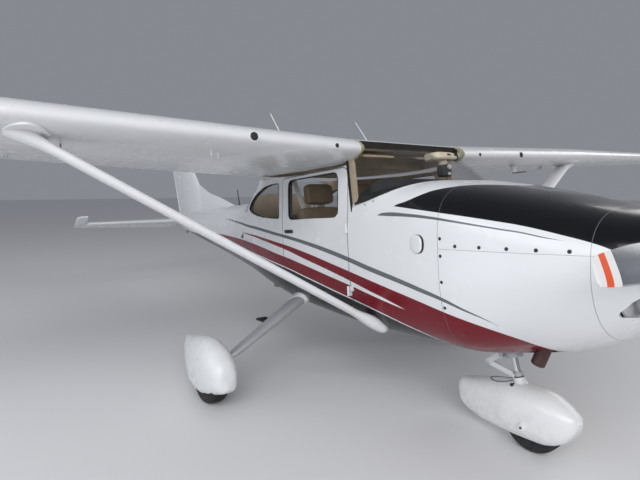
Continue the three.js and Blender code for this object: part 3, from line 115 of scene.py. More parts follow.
# Wing
ROOT_Y = 540.3
PANEL_BREAK_Y = 2540
TIP_RIB_Y = 5280
SEMI_SPAN = 5460
ROOT_CHORD = 1630
TIP_CHORD = 1100
WING_NOSE_X = -665
WING_NOSE_Z = 667
TIP_SWEEP = 160
DIHEDRAL = math.tan(math.radians(1.95))
ROOT_INCIDENCE = math.radians(1.5)
TIP_INCIDENCE = math.radians(-1.5)
CAMBER = 0.02
CAMBER_PLACE = 0.4
WING_THICKNESS = 0.12
ROOF_FRONT_X = -735
SPAR_X = -1100
FLAP = (640, 2528, 0.73, 190)
FLAP_TRACK_RADIUS = 205
AILERON = (2552, 4980, 0.77)
TONGUE_WIDTH = 30

# The far side of a cutting block, and the names of the two sides
FAR = 900
NAMES = {1: "left", -1: "right"}

# Main strut, tail surfaces
STRUT_LOW = (-700, 446, -573)
STRUT_HIGH = (-865, 2480, 668)
STRUT_CHORD = 152
STRUT_THICK = 50
FIN_ROWS = [
    (250, -5060, -6700, 105), (800, -5360, -6900, 95), (1560, -6350, -7170, 62), (1620, -6470, -7185, 30),
]
RUDDER_LOW = (-6262, 0, 118)
RUDDER_HIGH = (-6852, 0, 1850)
RUDDER_TURN = math.radians(22)
STAB_Z = 255
STAB_HINGE = -6080
STAB_TIP = 1725
STAB_ROUND = 90
STAB_THICK = 92
HORN_Y = 1585
ELEVATOR_DROOP = math.radians(17)

# Wheels, legs and fairings
def wheel_centre(ground_x, y, radius):
    """Where a wheel's centre is in the airframe when the wheel stands on the floor."""
    rise = radius - SHAFT_HEIGHT / MM
    return np.array([ground_x * COS_UP + rise * SIN_UP, y, rise * COS_UP - ground_x * SIN_UP])


MAIN_WHEEL = (222.5, 160, 88)
NOSE_WHEEL = (181, 127, 72)
FLAT_OF_TWENTY = math.cos(math.pi / 20)
MAIN_HUB = wheel_centre(-1420, 1386, MAIN_WHEEL[0] * FLAT_OF_TWENTY)
NOSE_HUB = wheel_centre(297, 0, NOSE_WHEEL[0] * FLAT_OF_TWENTY)
LEG_TOP = np.array([-1681, 400, -455.0])
LEG_KNEE = MAIN_HUB + (0, -112, 62)
STEER_TOP = np.array([59, 0, -560.0])
STEER_LOW = np.array([125, 0, -860.0])
STEER_WAY = (STEER_LOW - STEER_TOP) / np.linalg.norm(STEER_LOW - STEER_TOP)
MAIN_FAIRING = [
    (343, 20, -2, -44), (330, 56, 80, -60), (269, 94, 171, -82), (146, 115, 238, -120), (6, 122, 262, -148),
    (-134, 117, 252, -150), (-292, 92, 224, -100), (-405, 58, 208, 7), (-471, 20, 196, 150),
]
NOSE_FAIRING = [
    (280, 14, 92, 74), (268, 48, 112, 30), (240, 76, 136, -18), (197, 99, 166, -58), (140, 115, 197, -84),
    (81, 124, 214, -95), (-81, 131, 224, -93), (-254, 113, 202, -88), (-426, 82, 165, -58),
    (-505, 58, 148, -16),
    (-528, 34, 132, 30),
]

# Propeller
PROP_X = 1052
PROP_RADIUS = 1041
HUB_BACK_X = 999
SPINNER_RADIUS = 176
SPINNER_LENGTH = 375

# Paint edges on the sides, in metres of the airframe: x and height
CHEAT_TOP = [(-3.70, 0.262), (-2.62, 0.163), (-1.90, 0.087), (-1.51, 0.036), (-1.145, -0.023),
             (-0.867, -0.078),
             (-0.612, -0.135), (-0.329, -0.195), (-0.164, -0.234), (0.011, -0.281), (0.127, -0.326),
             (0.243, -0.375), (0.335, -0.428), (0.60, -0.62)]
CHEAT_LOW = [(-3.70, 0.270), (-3.55, 0.248), (-2.62, 0.137), (-1.90, 0.059), (-1.51, 0.006), (-1.145, -0.057),
             (-0.867, -0.112), (-0.612, -0.170), (-0.329, -0.227), (-0.164, -0.263), (0.011, -0.303),
             (0.127, -0.341), (0.243, -0.381), (0.335, -0.427), (0.60, -0.60)]
RED_TOP = [(-3.30, 0.120), (-2.83, 0.087), (-2.346, 0.046), (-1.80, -0.013), (-1.393, -0.078),
           (-1.048, -0.145),
           (-0.709, -0.213), (-0.461, -0.264), (-0.247, -0.308), (-0.061, -0.351), (0.12, -0.397),
           (0.226, -0.428), (0.326, -0.462), (0.399, -0.492), (0.445, -0.518), (0.55, -0.60)]
GAP_TOP = [(-3.30, 0.150), (-2.83, 0.085), (-2.347, 0.024), (-1.807, -0.050), (-1.401, -0.134),
           (-1.055, -0.206),
           (-0.809, -0.262), (-0.638, -0.306), (-0.479, -0.345), (-0.309, -0.397), (-0.10, -0.480)]
GAP_LOW = [(-4.30, 0.070), (-3.304, 0.028), (-2.668, -0.016), (-1.819, -0.118), (-1.407, -0.186),
           (-1.063, -0.250), (-0.791, -0.300), (-0.644, -0.331), (-0.485, -0.364), (-0.309, -0.397),
           (-0.10, -0.425)]
PIN_TOP = [(-6.20, 0.130), (-5.20, 0.060), (-4.30, 0.045), (-3.60, -0.010), (-2.90, -0.085), (-2.256, -0.156),
           (-1.835, -0.206), (-1.432, -0.278), (-1.09, -0.343), (-0.68, -0.425), (-0.40, -0.499),
           (-0.19, -0.572), (0.0, -0.68)]
PIN_WIDTH = 0.010
PIN_FRONT_X = 0.02
RED_END_X = -4.3
RED_JOIN_X = -2.83
LAP_PLACES = (-3.9, -5.1)
SEAM_HALF = 0.0016
LAP_HALF = 0.0009
GLARE_LOW = [(-0.45, 0.266), (-0.35, 0.253), (-0.17, 0.227), (-0.01, 0.203), (0.167, 0.175), (0.33, 0.146),
             (0.451, 0.123), (0.630, 0.077), (0.789, 0.029), (0.834, 0.010), (0.992, -0.06)]
GLARE_REAR = [(0.0, 0.190), (0.10, 0.178), (0.166, 0.150), (0.236, 0.109), (0.340, 0.030), (0.412, -0.036),
              (0.475, -0.113), (0.511, -0.170), (0.535, -0.242), (0.550, -0.350), (0.60, -0.60)]
COWL_STRIPE_TOP = [(-0.56, 0.190), (-0.506, 0.203), (-0.443, 0.217), (-0.22, 0.203), (-0.046, 0.181),
                   (0.103, 0.156), (0.238, 0.131), (0.361, 0.109), (0.455, 0.093), (0.569, 0.066),
                   (0.654, 0.047), (0.80, 0.0)]
COWL_STRIPE_LOW = [(-0.56, 0.216), (-0.506, 0.202), (-0.443, 0.197), (-0.22, 0.184), (-0.046, 0.166),
                   (0.103, 0.144), (0.238, 0.122), (0.361, 0.101), (0.455, 0.086), (0.569, 0.061),
                   (0.654, 0.047), (0.80, 0.01)]


# Curves and rings

def smooth_curve(xs, ys):
    """A function through the points that keeps their rises and falls and has no corners."""
    xs = np.asarray(xs, float)
    ys = np.asarray(ys, float)
    steps = np.diff(xs)
    slopes = np.diff(ys) / steps
    tangents = np.zeros(len(xs))
    tangents[0] = slopes[0]
    tangents[-1] = slopes[-1]
    for i in range(1, len(xs) - 1):
        if slopes[i - 1] * slopes[i] > 0:
            before = 2 * steps[i] + steps[i - 1]
            after = steps[i] + 2 * steps[i - 1]
            tangents[i] = (before + after) / (before / slopes[i - 1] + after / slopes[i])

    def value(x):
        x = np.clip(np.asarray(x, float), xs[0], xs[-1])
        i = np.clip(np.searchsorted(xs, x, side="right") - 1, 0, len(xs) - 2)
        width = steps[i]
        t = (x - xs[i]) / width
        start = (1 + 2 * t) * (1 - t) ** 2 * ys[i] + t * (1 - t) ** 2 * width * tangents[i]
        end = t ** 2 * (3 - 2 * t) * ys[i + 1] + t ** 2 * (t - 1) * width * tangents[i + 1]
        return start + end

    return value


def turns(count):
    """Equally spaced angles once round a circle."""
    return np.linspace(0, 2 * math.pi, count, endpoint=False)


def unit(vector):
    return vector / np.linalg.norm(vector)


def chord_shares(count, last):
    """Shares of a chord that lie closer together at its ends, up to the last one wanted."""
    shares = (1 - np.cos(np.linspace(0, math.pi, count))) / 2
    return shares[shares < last]


def columns(rows):
    """A smooth function of the first column for each of the others."""
    table = np.array(rows, float)
    table = table[np.argsort(table[:, 0])]
    return [smooth_curve(table[:, 0], table[:, i]) for i in range(1, table.shape[1])]


BODY = columns(BODY_SECTIONS)
BAND = columns(BAND_SECTIONS)


def spaced(path, count):
    """The same path with points at equal distances along it, its ends kept."""
    gaps = np.linalg.norm(np.diff(path, axis=0), axis=1)
    along = np.concatenate([[0], np.cumsum(gaps)])
    places = np.linspace(0, along[-1], count)
    return np.stack([np.interp(places, along, path[:, i]) for i in range(path.shape[1])], axis=1)


QUARTER = np.linspace(0, math.pi / 2, 160)


def quarter_arc(width, height, square, count):
    """A quarter of a squared ellipse, from its side to its top."""
    power = 2 / square
    path = np.stack([width * np.cos(QUARTER) ** power, height * np.sin(QUARTER) ** power], axis=1)
    return spaced(path, count)


def body_ring(x, inset=0, count=37):
    """The body's outline at a station, from its port side over the top."""
    half, top, bottom, widest, above, below = [f(x) for f in BODY]
    over = quarter_arc(half - inset, top - inset - widest, above, count)
    under = quarter_arc(half - inset, widest - bottom - inset, below, count)
    ring = np.concatenate([
        over[:-1], (over * (-1, 1))[::-1][:-1], (under * (-1, -1))[:-1], (under * (1, -1))[::-1][:-1],
    ])
    ring[:, 1] += widest
    return np.column_stack([np.full(len(ring), float(x)), ring])


def band_ring(z, inset=0):
    """The window band's outline at a height, from its foremost point round by port."""
    half, rear_half, front, rear, start, square = [f(z) for f in BAND]
    nose = quarter_arc(front - inset - start, half - inset, square, 60)
    nose[:, 0] += start
    tail = quarter_arc(BAND_PILLAR_X - rear - inset, rear_half - inset, BAND_REAR_SQUARE, 40)
    tail[:, 0] = BAND_PILLAR_X - tail[:, 0]
    side = spaced(np.array([(start, half - inset), (BAND_STRAIGHT_X, half - inset)]), 16)
    pillar = spaced(np.array([(BAND_STRAIGHT_X, half - inset), (BAND_PILLAR_X, rear_half - inset)]), 12)
    port = np.concatenate([nose[:-1], side[:-1], pillar[:-1], tail[::-1]])
    ring = np.concatenate([port[:-1], (port * (1, -1))[::-1][:-1]])
    return np.column_stack([ring, np.full(len(ring), float(z))])


def body_level(points):
    """About how far points lie outside the body's skin."""
    x, y, z = np.asarray(points, float).T
    half, top, bottom, widest, above, below = [f(x) for f in BODY]
    over = z > widest
    reach = np.where(over, top - widest, widest - bottom)
    square = np.where(over, above, below)
    level = (np.abs(y / half) ** square + np.abs((z - widest) / reach) ** square) ** (1 / square)
    return (level - 1) * np.minimum(half, reach)


def band_level(points):
    """About how far points lie outside the window band."""
    x, y, z = np.asarray(points, float).T
    half, rear_half, front, rear, start, square = [f(z) for f in BAND]
    ahead = np.clip((x - start) / (front - start), 0, None)
    behind = np.clip((BAND_PILLAR_X - x) / (BAND_PILLAR_X - rear), 0, None)
    share = np.clip((BAND_STRAIGHT_X - x) / (BAND_STRAIGHT_X - BAND_PILLAR_X), 0, 1)
    side = half + (rear_half - half) * share
    square = np.where(x > start, square, BAND_REAR_SQUARE)
    level = ((ahead + behind) ** square + np.abs(y / side) ** square) ** (1 / square)
    return (level - 1) * side


# How far body and band ease into each other, how far the band takes to begin, and the step of a slope
HULL_EASE = 14.0
BAND_RISE = 120
SLOPE_STEP = 0.5


def unit_rows(rows):
    return rows / np.maximum(np.linalg.norm(rows, axis=1, keepdims=True), 1e-9)


def hull_normals(points):
    """Outward directions of the joined body and band, eased where the two meet."""
    def slope(level):
        steps = [SLOPE_STEP * axis for axis in np.eye(3)]
        return unit_rows(np.stack([level(points + step) - level(points - step) for step in steps], axis=1))

    lead = np.clip((band_level(points) - body_level(points)) / HULL_EASE, -30, 30)
    band_share = 1 / (1 + np.exp(lead)) * np.clip(points[:, 2] / BAND_RISE + 0.5, 0, 1)
    return unit_rows(slope(body_level) * (1 - band_share)[:, None] + slope(band_level) * band_share[:, None])


def hull_distance(points):
    """About how far points lie outside the body and the band together."""
    band = np.maximum(band_level(points), -points[:, 2])
    return np.minimum(body_level(points), band)


# Shapes: each is a pair of points and faces, in airframe millimetres

def loft(rings):
    """A closed shape through rings with the same count of points, with flat ends."""
    count = len(rings[0])
    points = np.concatenate(rings)
    around = np.arange(count)
    after = (around + 1) % count
    faces = []
    for i in range(len(rings) - 1):
        a = i * count
        b = a + count
        faces += np.stack([a + around, a + after, b + after, b + around], axis=1).tolist()
    last = (len(rings) - 1) * count
    ends = np.array([rings[0].mean(axis=0), rings[-1].mean(axis=0)])
    first_centre = len(points)
    points = np.concatenate([points, ends])
    faces += [[j, first_centre, (j + 1) % count] for j in range(count)]
    faces += [[last + (j + 1) % count, first_centre + 1, last + j] for j in range(count)]
    return outward(points, faces)


def outward(points, faces):
    """The same shape with its faces turned outward."""
    centre = points.mean(axis=0)
    volume = 0
    for size in {len(face) for face in faces}:
        group = points[np.array([face for face in faces if len(face) == size])] - centre
        for k in range(1, size - 1):
            volume += np.einsum("ij,ij->i", group[:, 0], np.cross(group[:, k], group[:, k + 1])).sum()
    return (points, faces) if volume > 0 else (points, [face[::-1] for face in faces])


def merged(*shapes):
    """Several shapes as one, side by side."""
    points = []
    faces = []
    start = 0
    for shape_points, shape_faces in shapes:
        points.append(shape_points)
        faces += [[v + start for v in face] for face in shape_faces]
        start += len(shape_points)
    return np.concatenate(points), faces


def mirrored(shape):
    points, faces = shape
    return points * (1, -1, 1), [face[::-1] for face in faces]


def shifted(shape, offset):
    return shape[0] + np.array(offset, float), shape[1]


def box(x0, x1, y0, y1, z0, z1):
    plan = [(x0, y0), (x1, y0), (x1, y1), (x0, y1)]
    return loft([np.array([(x, y, z) for x, y in plan], float) for z in (z0, z1)])


def frame_axes(along):
    """A direction and two more at right angles to it."""
    along = unit(np.array(along, float))
    helper = np.array([0, 0, 1.0]) if abs(along[2]) < 0.9 else np.array([1.0, 0, 0])
    side = unit(np.cross(along, helper))
    return along, side, np.cross(along, side)


def tube(path, radii, sides=16):
    """A round bar along a path, with a radius at each of its points."""
    path = np.array(path, float)
    radii = np.broadcast_to(radii, len(path))
    angles = turns(sides)
    side = frame_axes(path[-1] - path[0])[1]
    rings = []
    for i, (p, r) in enumerate(zip(path, radii)):
        way = unit(path[min(i + 1, len(path) - 1)] - path[max(i - 1, 0)])
        across = unit(side - way * side.dot(way))
        over = np.cross(way, across)
        rings.append(p + r * (np.outer(np.cos(angles), across) + np.outer(np.sin(angles), over)))
    return loft(rings)


def rod(start, end, r0, r1=None, sides=24):
    return tube([start, end], [r0, r0 if r1 is None else r1], sides)


def prism(outline, axis, low, high):
    """A flat outline carried along an axis: 0 takes (y, z), 1 takes (x, z), 2 takes (x, y)."""
    outline = np.array(outline, float)
    return loft([np.insert(outline, axis, place, axis=1) for place in (low, high)])


def eased(corners, size, steps=8):
    """An outline with each corner rounded by a curve of about the given size."""
    corners = np.array(corners, float)
    outline = []
    for i, corner in enumerate(corners):
        before = corners[i - 1] - corner
        after = corners[(i + 1) % len(corners)] - corner
        near = corner + before * min(size / np.linalg.norm(before), 0.5)
        far = corner + after * min(size / np.linalg.norm(after), 0.5)
        for t in np.linspace(0, 1, steps):
            outline.append((1 - t) ** 2 * near + 2 * t * (1 - t) * corner + t ** 2 * far)
    return np.array(outline)


def frame_outline(rear, front, low, high, corner, grow=0):
    """A rectangle with rounded corners."""
    rear, front, low, high = rear - grow, front + grow, low - grow, high + grow
    return eased([(rear, low), (front, low), (front, high), (rear, high)], corner + grow)


def round_again(rings):
    """A closed shape through section rings, the last of which joins the first."""
    count = len(rings[0])
    faces = []
    for i in range(len(rings)):
        a = i * count
        b = (i + 1) % len(rings) * count
        faces += [[a + j, b + j, b + (j + 1) % count, a + (j + 1) % count] for j in range(count)]
    return outward(np.concatenate(rings), faces)


def lathe(profile, centre, axis=1, sides=64):
    """A profile of (radius, place along the axis), closed on itself, turned about the axis."""
    profile = np.array(profile, float)
    others = [i for i in range(3) if i != axis]
    rings = []
    for angle in turns(sides):
        ring = np.zeros((len(profile), 3))
        ring[:, axis] = profile[:, 1]
        ring[:, others[0]] = profile[:, 0] * math.cos(angle)
        ring[:, others[1]] = profile[:, 0] * math.sin(angle)
        rings.append(ring + centre)
    return round_again(rings)


def lathe_about(axis, origin, profile, sides):
    """A profile of (radius, place along the axis) turned about any axis through an origin."""
    along, side, up = frame_axes(axis)
    profile = np.array(profile, float)
    rings = []
    for angle in turns(sides):
        way = side * math.cos(angle) + up * math.sin(angle)
        rings.append(origin + np.outer(profile[:, 1], along) + np.outer(profile[:, 0], way))
    return round_again(rings)


def dome(centre, normal, radius, height, sides=8, rings=2):
    """A low round head on a surface, such as a rivet's or a fastener's."""
    along, side, up = frame_axes(normal)
    centre = np.array(centre, float)
    angles = turns(sides)
    circle = np.outer(np.cos(angles), side) + np.outer(np.sin(angles), up)
    levels = [centre - along * height * 0.5 + radius * circle]
    for i in range(rings):
        turn = i / rings * math.pi / 2
        levels.append(centre + along * height * math.sin(turn) + radius * math.cos(turn) * circle)
    levels.append(centre + along * height + radius * 0.05 * circle)
    return loft(levels)


def pillow(corners, axis, low, high, ease, round_off, steps=10):
    """An outline carried along an axis, drawn in smoothly towards both ends, as a cushion is."""
    outline = eased(corners, ease, 10)
    middle = outline.mean(axis=0)
    centre = (low + high) / 2
    half = (high - low) / 2
    rings = []
    for turn in np.linspace(-1, 1, steps * 2 + 1):
        place = math.sin(turn * math.pi / 2)
        draw = round_off * (1 - math.sqrt(max(0, 1 - abs(place) ** 5)))
        offset = outline - middle
        size = np.linalg.norm(offset, axis=1, keepdims=True)
        ring = middle + offset * (1 - draw / size)
        rings.append(np.insert(ring, axis, centre + half * place, axis=1))
    return loft(rings)


# Work objects and booleans

WORK = []


def added(name, data):
    """A new object in the scene."""
    obj = bpy.data.objects.new(name, data)
    bpy.context.scene.collection.objects.link(obj)
    return obj


def work_object(mesh):
    """An object that is removed again when the pieces are done."""
    WORK.append(added("work", mesh))
    return WORK[-1]


def work(shape):
    """A Blender object of a shape, for cutting and joining."""
    if isinstance(shape, bpy.types.Object):
        return shape
    mesh = bpy.data.meshes.new("work")
    mesh.from_pydata(shape[0].tolist(), [], shape[1])
    return work_object(mesh)


def reflected(shape_object):
    """A mirrored copy of a work object."""
    mesh = shape_object.data.copy()
    mesh.transform(Matrix.Scale(-1, 4, Vector((0, 1, 0))))
    mesh.flip_normals()
    return work_object(mesh)


def combined(operation, base, others):
    """The result of one boolean operation with each of the others in turn."""
    obj = work_object(work(base).data)
    for other in others:
        modifier = obj.modifiers.new("boolean", "BOOLEAN")
        modifier.operation = operation
        modifier.solver = "MANIFOLD"
        modifier.object = work(other)
    depsgraph = bpy.context.evaluated_depsgraph_get()
    result = bpy.data.meshes.new_from_object(obj.evaluated_get(depsgraph))
    obj.modifiers.clear()
    obj.data = result
    return obj


def cut(base, *others):
    return combined("DIFFERENCE", base, others)


def join(base, *others):
    return combined("UNION", base, others)


def keep(base, *others):
    return combined("INTERSECT", base, others)


def both_sides(shape):
    return merged(shape, mirrored(shape))


def between(x0, x1, z0=-FAR, z1=FAR):
    """A block between two stations that is wider than the body."""
    return box(x0, x1, -FAR, FAR, z0, z1)


def body_solid(inset=0):
    stations = np.unique(np.concatenate([
        np.linspace(-6200, -2900, 61), np.linspace(-2900, 300, 92), np.linspace(300, 900, 25),
        np.linspace(900, 992, 15),
    ]))
    return loft([body_ring(x, inset) for x in stations])


def band_solid(inset=0):
    return loft([band_ring(z, inset) for z in np.linspace(0, 800, 33)])


def hull_solid(inset):
    return join(body_solid(inset), band_solid(inset))


def band_shell(outer, inner):
    """A thin shell that follows the window band, between two insets from its skin."""
    return cut(band_solid(outer), band_solid(inner))


def body_shell(outer, inner):
    return cut(body_solid(outer), body_solid(inner))


# Pieces

def to_row(points):
    """Airframe millimetres in the row frame, in metres."""
    x, y, z = (np.asarray(points, float) * MM).T
    return np.stack([x * COS_UP - z * SIN_UP + SHIFT, y, SHAFT_HEIGHT + x * SIN_UP + z * COS_UP], axis=1)


def turned(points, origin, axis, angle):
    """Points turned about a line of the airframe."""
    spin = np.array(Matrix.Rotation(angle, 3, Vector(axis)))
    return (points - origin) @ spin.T + origin


def vectors(items, field):
    """One three-part field of a mesh's points or faces, as rows."""
    values = np.empty(len(items) * 3)
    items.foreach_get(field, values)
    return values.reshape(-1, 3)


def integers(items, field):
    values = np.empty(len(items), int)
    items.foreach_get(field, values)
    return values


def shape_of(obj):
    """The points and faces of a work object."""
    return vectors(obj.data.vertices, "co"), [list(p.vertices) for p in obj.data.polygons]


# How near the skin a point takes the skin's own shading, how well its face must be aligned for that, how near
# a face is painted, and how far faces on the skin and on the lining are turned out or in
ON_SKIN = 2.5
ALIGNED = 0.85
PAINT_DEPTH = 12
FACES_OUT = 0.6
FACES_IN = -0.4


def follow_hull(mesh, points):
    """Gives the faces on the skin the skin's own directions, so that cuts leave no marks in its gloss."""
    corner = integers(mesh.loops, "vertex_index")
    owner = np.repeat(np.arange(len(mesh.polygons)), integers(mesh.polygons, "loop_total"))
    flat = vectors(mesh.polygons, "normal")[owner]
    ideal = hull_normals(points)
    on_skin = np.abs(hull_distance(points)) < ON_SKIN
    aligned = (flat * ideal[corner]).sum(axis=1) > ALIGNED
    normals = np.where((on_skin[corner] & aligned)[:, None], ideal[corner], flat)
    mesh.polygons.foreach_set("use_smooth", np.ones(len(mesh.polygons), bool))
    mesh.normals_split_custom_set(normals.tolist())


def piece(name, shape, body, materials, nodes=(), choose=None, sharp=34, bend=None, on_hull=False):
    """A finished piece: its materials and shading, in the row frame, on its body, in place of its nodes.
    choose gives a material number from face centres and normals; bend moves the points."""
    mesh = work(shape).data.copy()
    mesh.name = name
    mesh.materials.clear()
    for material in materials if isinstance(materials, (list, tuple)) else [materials]:
        mesh.materials.append(material)
    points = vectors(mesh.vertices, "co")
    numbers = np.zeros(len(mesh.polygons), int)
    if choose:
        numbers = choose(vectors(mesh.polygons, "center"), vectors(mesh.polygons, "normal")).astype(int)
    mesh.polygons.foreach_set("material_index", numbers)
    if on_hull:
        follow_hull(mesh, points)
    else:
        mesh.polygons.foreach_set("use_smooth", np.ones(len(mesh.polygons), bool))
        mesh.set_sharp_from_angle(angle=math.radians(sharp))
    if bend:
        points = bend(points)
    if bend or not on_hull:
        mesh.vertices.foreach_set("co", to_row(points).ravel())
        mesh.update()
    else:
        rotation = Matrix.Rotation(-NOSE_UP, 4, "Y")
        mesh.transform(Matrix.Translation((SHIFT, 0, SHAFT_HEIGHT)) @ rotation @ Matrix.Scale(MM, 4))
    obj = added(name, mesh)
    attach(obj, body)
    if nodes:
        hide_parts(*nodes)
    return obj


def plain(name, shape, material, body="root"):
    """A piece that replaces no node, with one material."""
    return piece(name, shape, body, material)


def sided_piece(side, name, shape, body, material, nodes=(), turn=None):
    """A piece drawn on the port side, turned if it rests so, and mirrored where it is starboard's."""
    def bend(points):
        return (turn(points) if turn else points) * (1, side, 1)

    obj = piece(name + NAMES[side], shape, body, material, nodes, bend=bend)
    if side < 0:
        obj.data.flip_normals()


def dress_node(name, material):
    """A carried-over node with a better material."""
    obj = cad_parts[name]
    if not obj.material_slots:
        obj.data.materials.append(None)
    for material_slot in obj.material_slots:
        material_slot.link = "OBJECT"
        material_slot.material = material


# Materials

EDGE_SOFTNESS = 0.0012


class Graph:
    """A material's nodes, with a short call for each kind that is used here."""

    def __init__(self, name):
        self.material = bpy.data.materials.new(name)
        self.material.use_nodes = True
        self.tree = self.material.node_tree
        self.shader = self.tree.nodes["Principled BSDF"]
        self.coordinates = self.node("ShaderNodeTexCoord").outputs["Object"]

    def node(self, kind, **settings):
        node = self.tree.nodes.new(kind)
        for key, value in settings.items():
            setattr(node, key, value)
        return node

    def feed(self, socket, value):
        if isinstance(value, bpy.types.NodeSocket):
            self.tree.links.new(value, socket)
        else:
            socket.default_value = value

    def set(self, **values):
        """Sets the shader's own sockets, with underscores for the spaces in their names."""
        for key, value in values.items():
            self.feed(self.shader.inputs[key.replace("_", " ")], value)

    def math(self, operation, *values, clamp=False):
        node = self.node("ShaderNodeMath", operation=operation, use_clamp=clamp)
        for socket, value in zip(node.inputs, values):
            self.feed(socket, value)
        return node.outputs[0]

    def dot(self, vector, other):
        node = self.node("ShaderNodeVectorMath", operation="DOT_PRODUCT")
        self.feed(node.inputs[0], vector)
        self.feed(node.inputs[1], other)
        return node.outputs["Value"]

    def mix(self, factor, first, second):
        node = self.node("ShaderNodeMix", data_type="RGBA")
        self.feed(node.inputs[0], factor)
        self.feed(node.inputs[6], first)
        self.feed(node.inputs[7], second)
        return node.outputs[2]

    def scaled(self, factors):
        node = self.node("ShaderNodeVectorMath", operation="MULTIPLY")
        self.feed(node.inputs[0], self.coordinates)
        self.feed(node.inputs[1], factors)
        return node.outputs[0]

    def noise(self, scale, detail=4.0, roughness=0.55, vector=None):
        node = self.node("ShaderNodeTexNoise")
        self.feed(node.inputs["Vector"], self.coordinates if vector is None else vector)
        self.feed(node.inputs["Scale"], scale)
        self.feed(node.inputs["Detail"], detail)
        self.feed(node.inputs["Roughness"], roughness)
        return node.outputs[0]

    def cells(self, scale):
        node = self.node("ShaderNodeTexVoronoi")
        self.feed(node.inputs["Vector"], self.coordinates)
        self.feed(node.inputs["Scale"], scale)
        return node.outputs[0]

    def spread(self, value, low, high, to_low=0.0, to_high=1.0):
        node = self.node("ShaderNodeMapRange")
        for socket, number in zip(node.inputs, (value, low, high, to_low, to_high)):
            self.feed(socket, number)
        return node.outputs[0]

    def bump(self, height, strength, distance, normal=None):
        node = self.node("ShaderNodeBump")
        self.feed(node.inputs["Strength"], strength)
        self.feed(node.inputs["Distance"], distance)
        self.feed(node.inputs["Height"], height)
        if normal is not None:
            self.feed(node.inputs["Normal"], normal)
        return node.outputs[0]

    def airframe(self):
        """Forward, port and up places in the airframe, in metres."""
        node = self.node("ShaderNodeVectorMath", operation="SUBTRACT")
        self.feed(node.inputs[0], self.coordinates)
        self.feed(node.inputs[1], (SHIFT, 0, SHAFT_HEIGHT))
        place = node.outputs[0]
        return (self.dot(place, (COS_UP, 0, SIN_UP)), self.dot(place, (0, 1, 0)),
                self.dot(place, (-SIN_UP, 0, COS_UP)))

    def edge(self, place, points):
        """The height of an edge through points, at a place along it."""
        xs = [p[0] for p in points]
        ys = [p[1] for p in points]
        low, high = min(ys) - 0.01, max(ys) + 0.01
        node = self.node("ShaderNodeFloatCurve")
        curve = node.mapping.curves[0]
        while len(curve.points) < len(points):
            curve.points.new(0.5, 0.5)
        for point, x, y in zip(curve.points, xs, ys):
            point.location = ((x - xs[0]) / (xs[-1] - xs[0]), (y - low) / (high - low))
            point.handle_type = "AUTO"
        node.mapping.update()
        self.feed(node.inputs["Value"], self.spread(place, xs[0], xs[-1]))
        return self.math("MULTIPLY_ADD", node.outputs[0], high - low, low)

    def above(self, value, edge):
        """1 where the value is over the edge, with a painted edge's softness."""
        over = self.math("SUBTRACT", value, edge)
        return self.math("MULTIPLY_ADD", over, 1 / EDGE_SOFTNESS, 0.5, clamp=True)

    def both(self, a, b):
        return self.math("MULTIPLY", a, b)

    def flip(self, a):
        return self.math("SUBTRACT", 1.0, a)

    def line(self, value, place, half):
        """1 in a thin line about a place."""
        apart = self.math("ABSOLUTE", self.math("SUBTRACT", value, place))
        return self.math("LESS_THAN", apart, half)


WHITE = (0.80, 0.81, 0.82, 1)
BURGUNDY = (0.175, 0.001, 0.009, 1)
STRIPE_GREY = (0.13, 0.145, 0.155, 1)
GLOSS_BLACK = (0.003, 0.003, 0.004, 1)
GRIME = (0.42, 0.40, 0.36, 1)
SEAM = (0.20, 0.20, 0.20, 1)


def worn(graph, colour, amount=0.10):
    """A paint colour with faint clouds of dust and age in it."""
    clouds = graph.spread(graph.noise(1.7, 6, 0.6), 0.42, 0.78, 0.0, amount)
    specks = graph.spread(graph.noise(60, 3, 0.7), 0.66, 0.78, 0.0, amount * 1.2)
    return graph.mix(graph.math("ADD", clouds, specks, clamp=True), colour, GRIME)


def gloss_paint(graph, colour, rough=0.22, ripple=0.05):
    """A gloss coat over a colour, with the slight unevenness of sprayed sheet metal."""
    graph.set(Base_Color=colour, Specular_IOR_Level=0.35, Coat_Weight=0.2, Coat_Roughness=0.06)
    graph.set(Roughness=graph.spread(graph.noise(9, 5), 0.3, 0.7, rough * 0.75, rough * 1.35))
    orange_peel = graph.bump(graph.noise(260, 2), ripple, 0.0006)
    graph.set(Normal=graph.bump(graph.noise(3.2, 2), 0.10, 0.004, orange_peel))


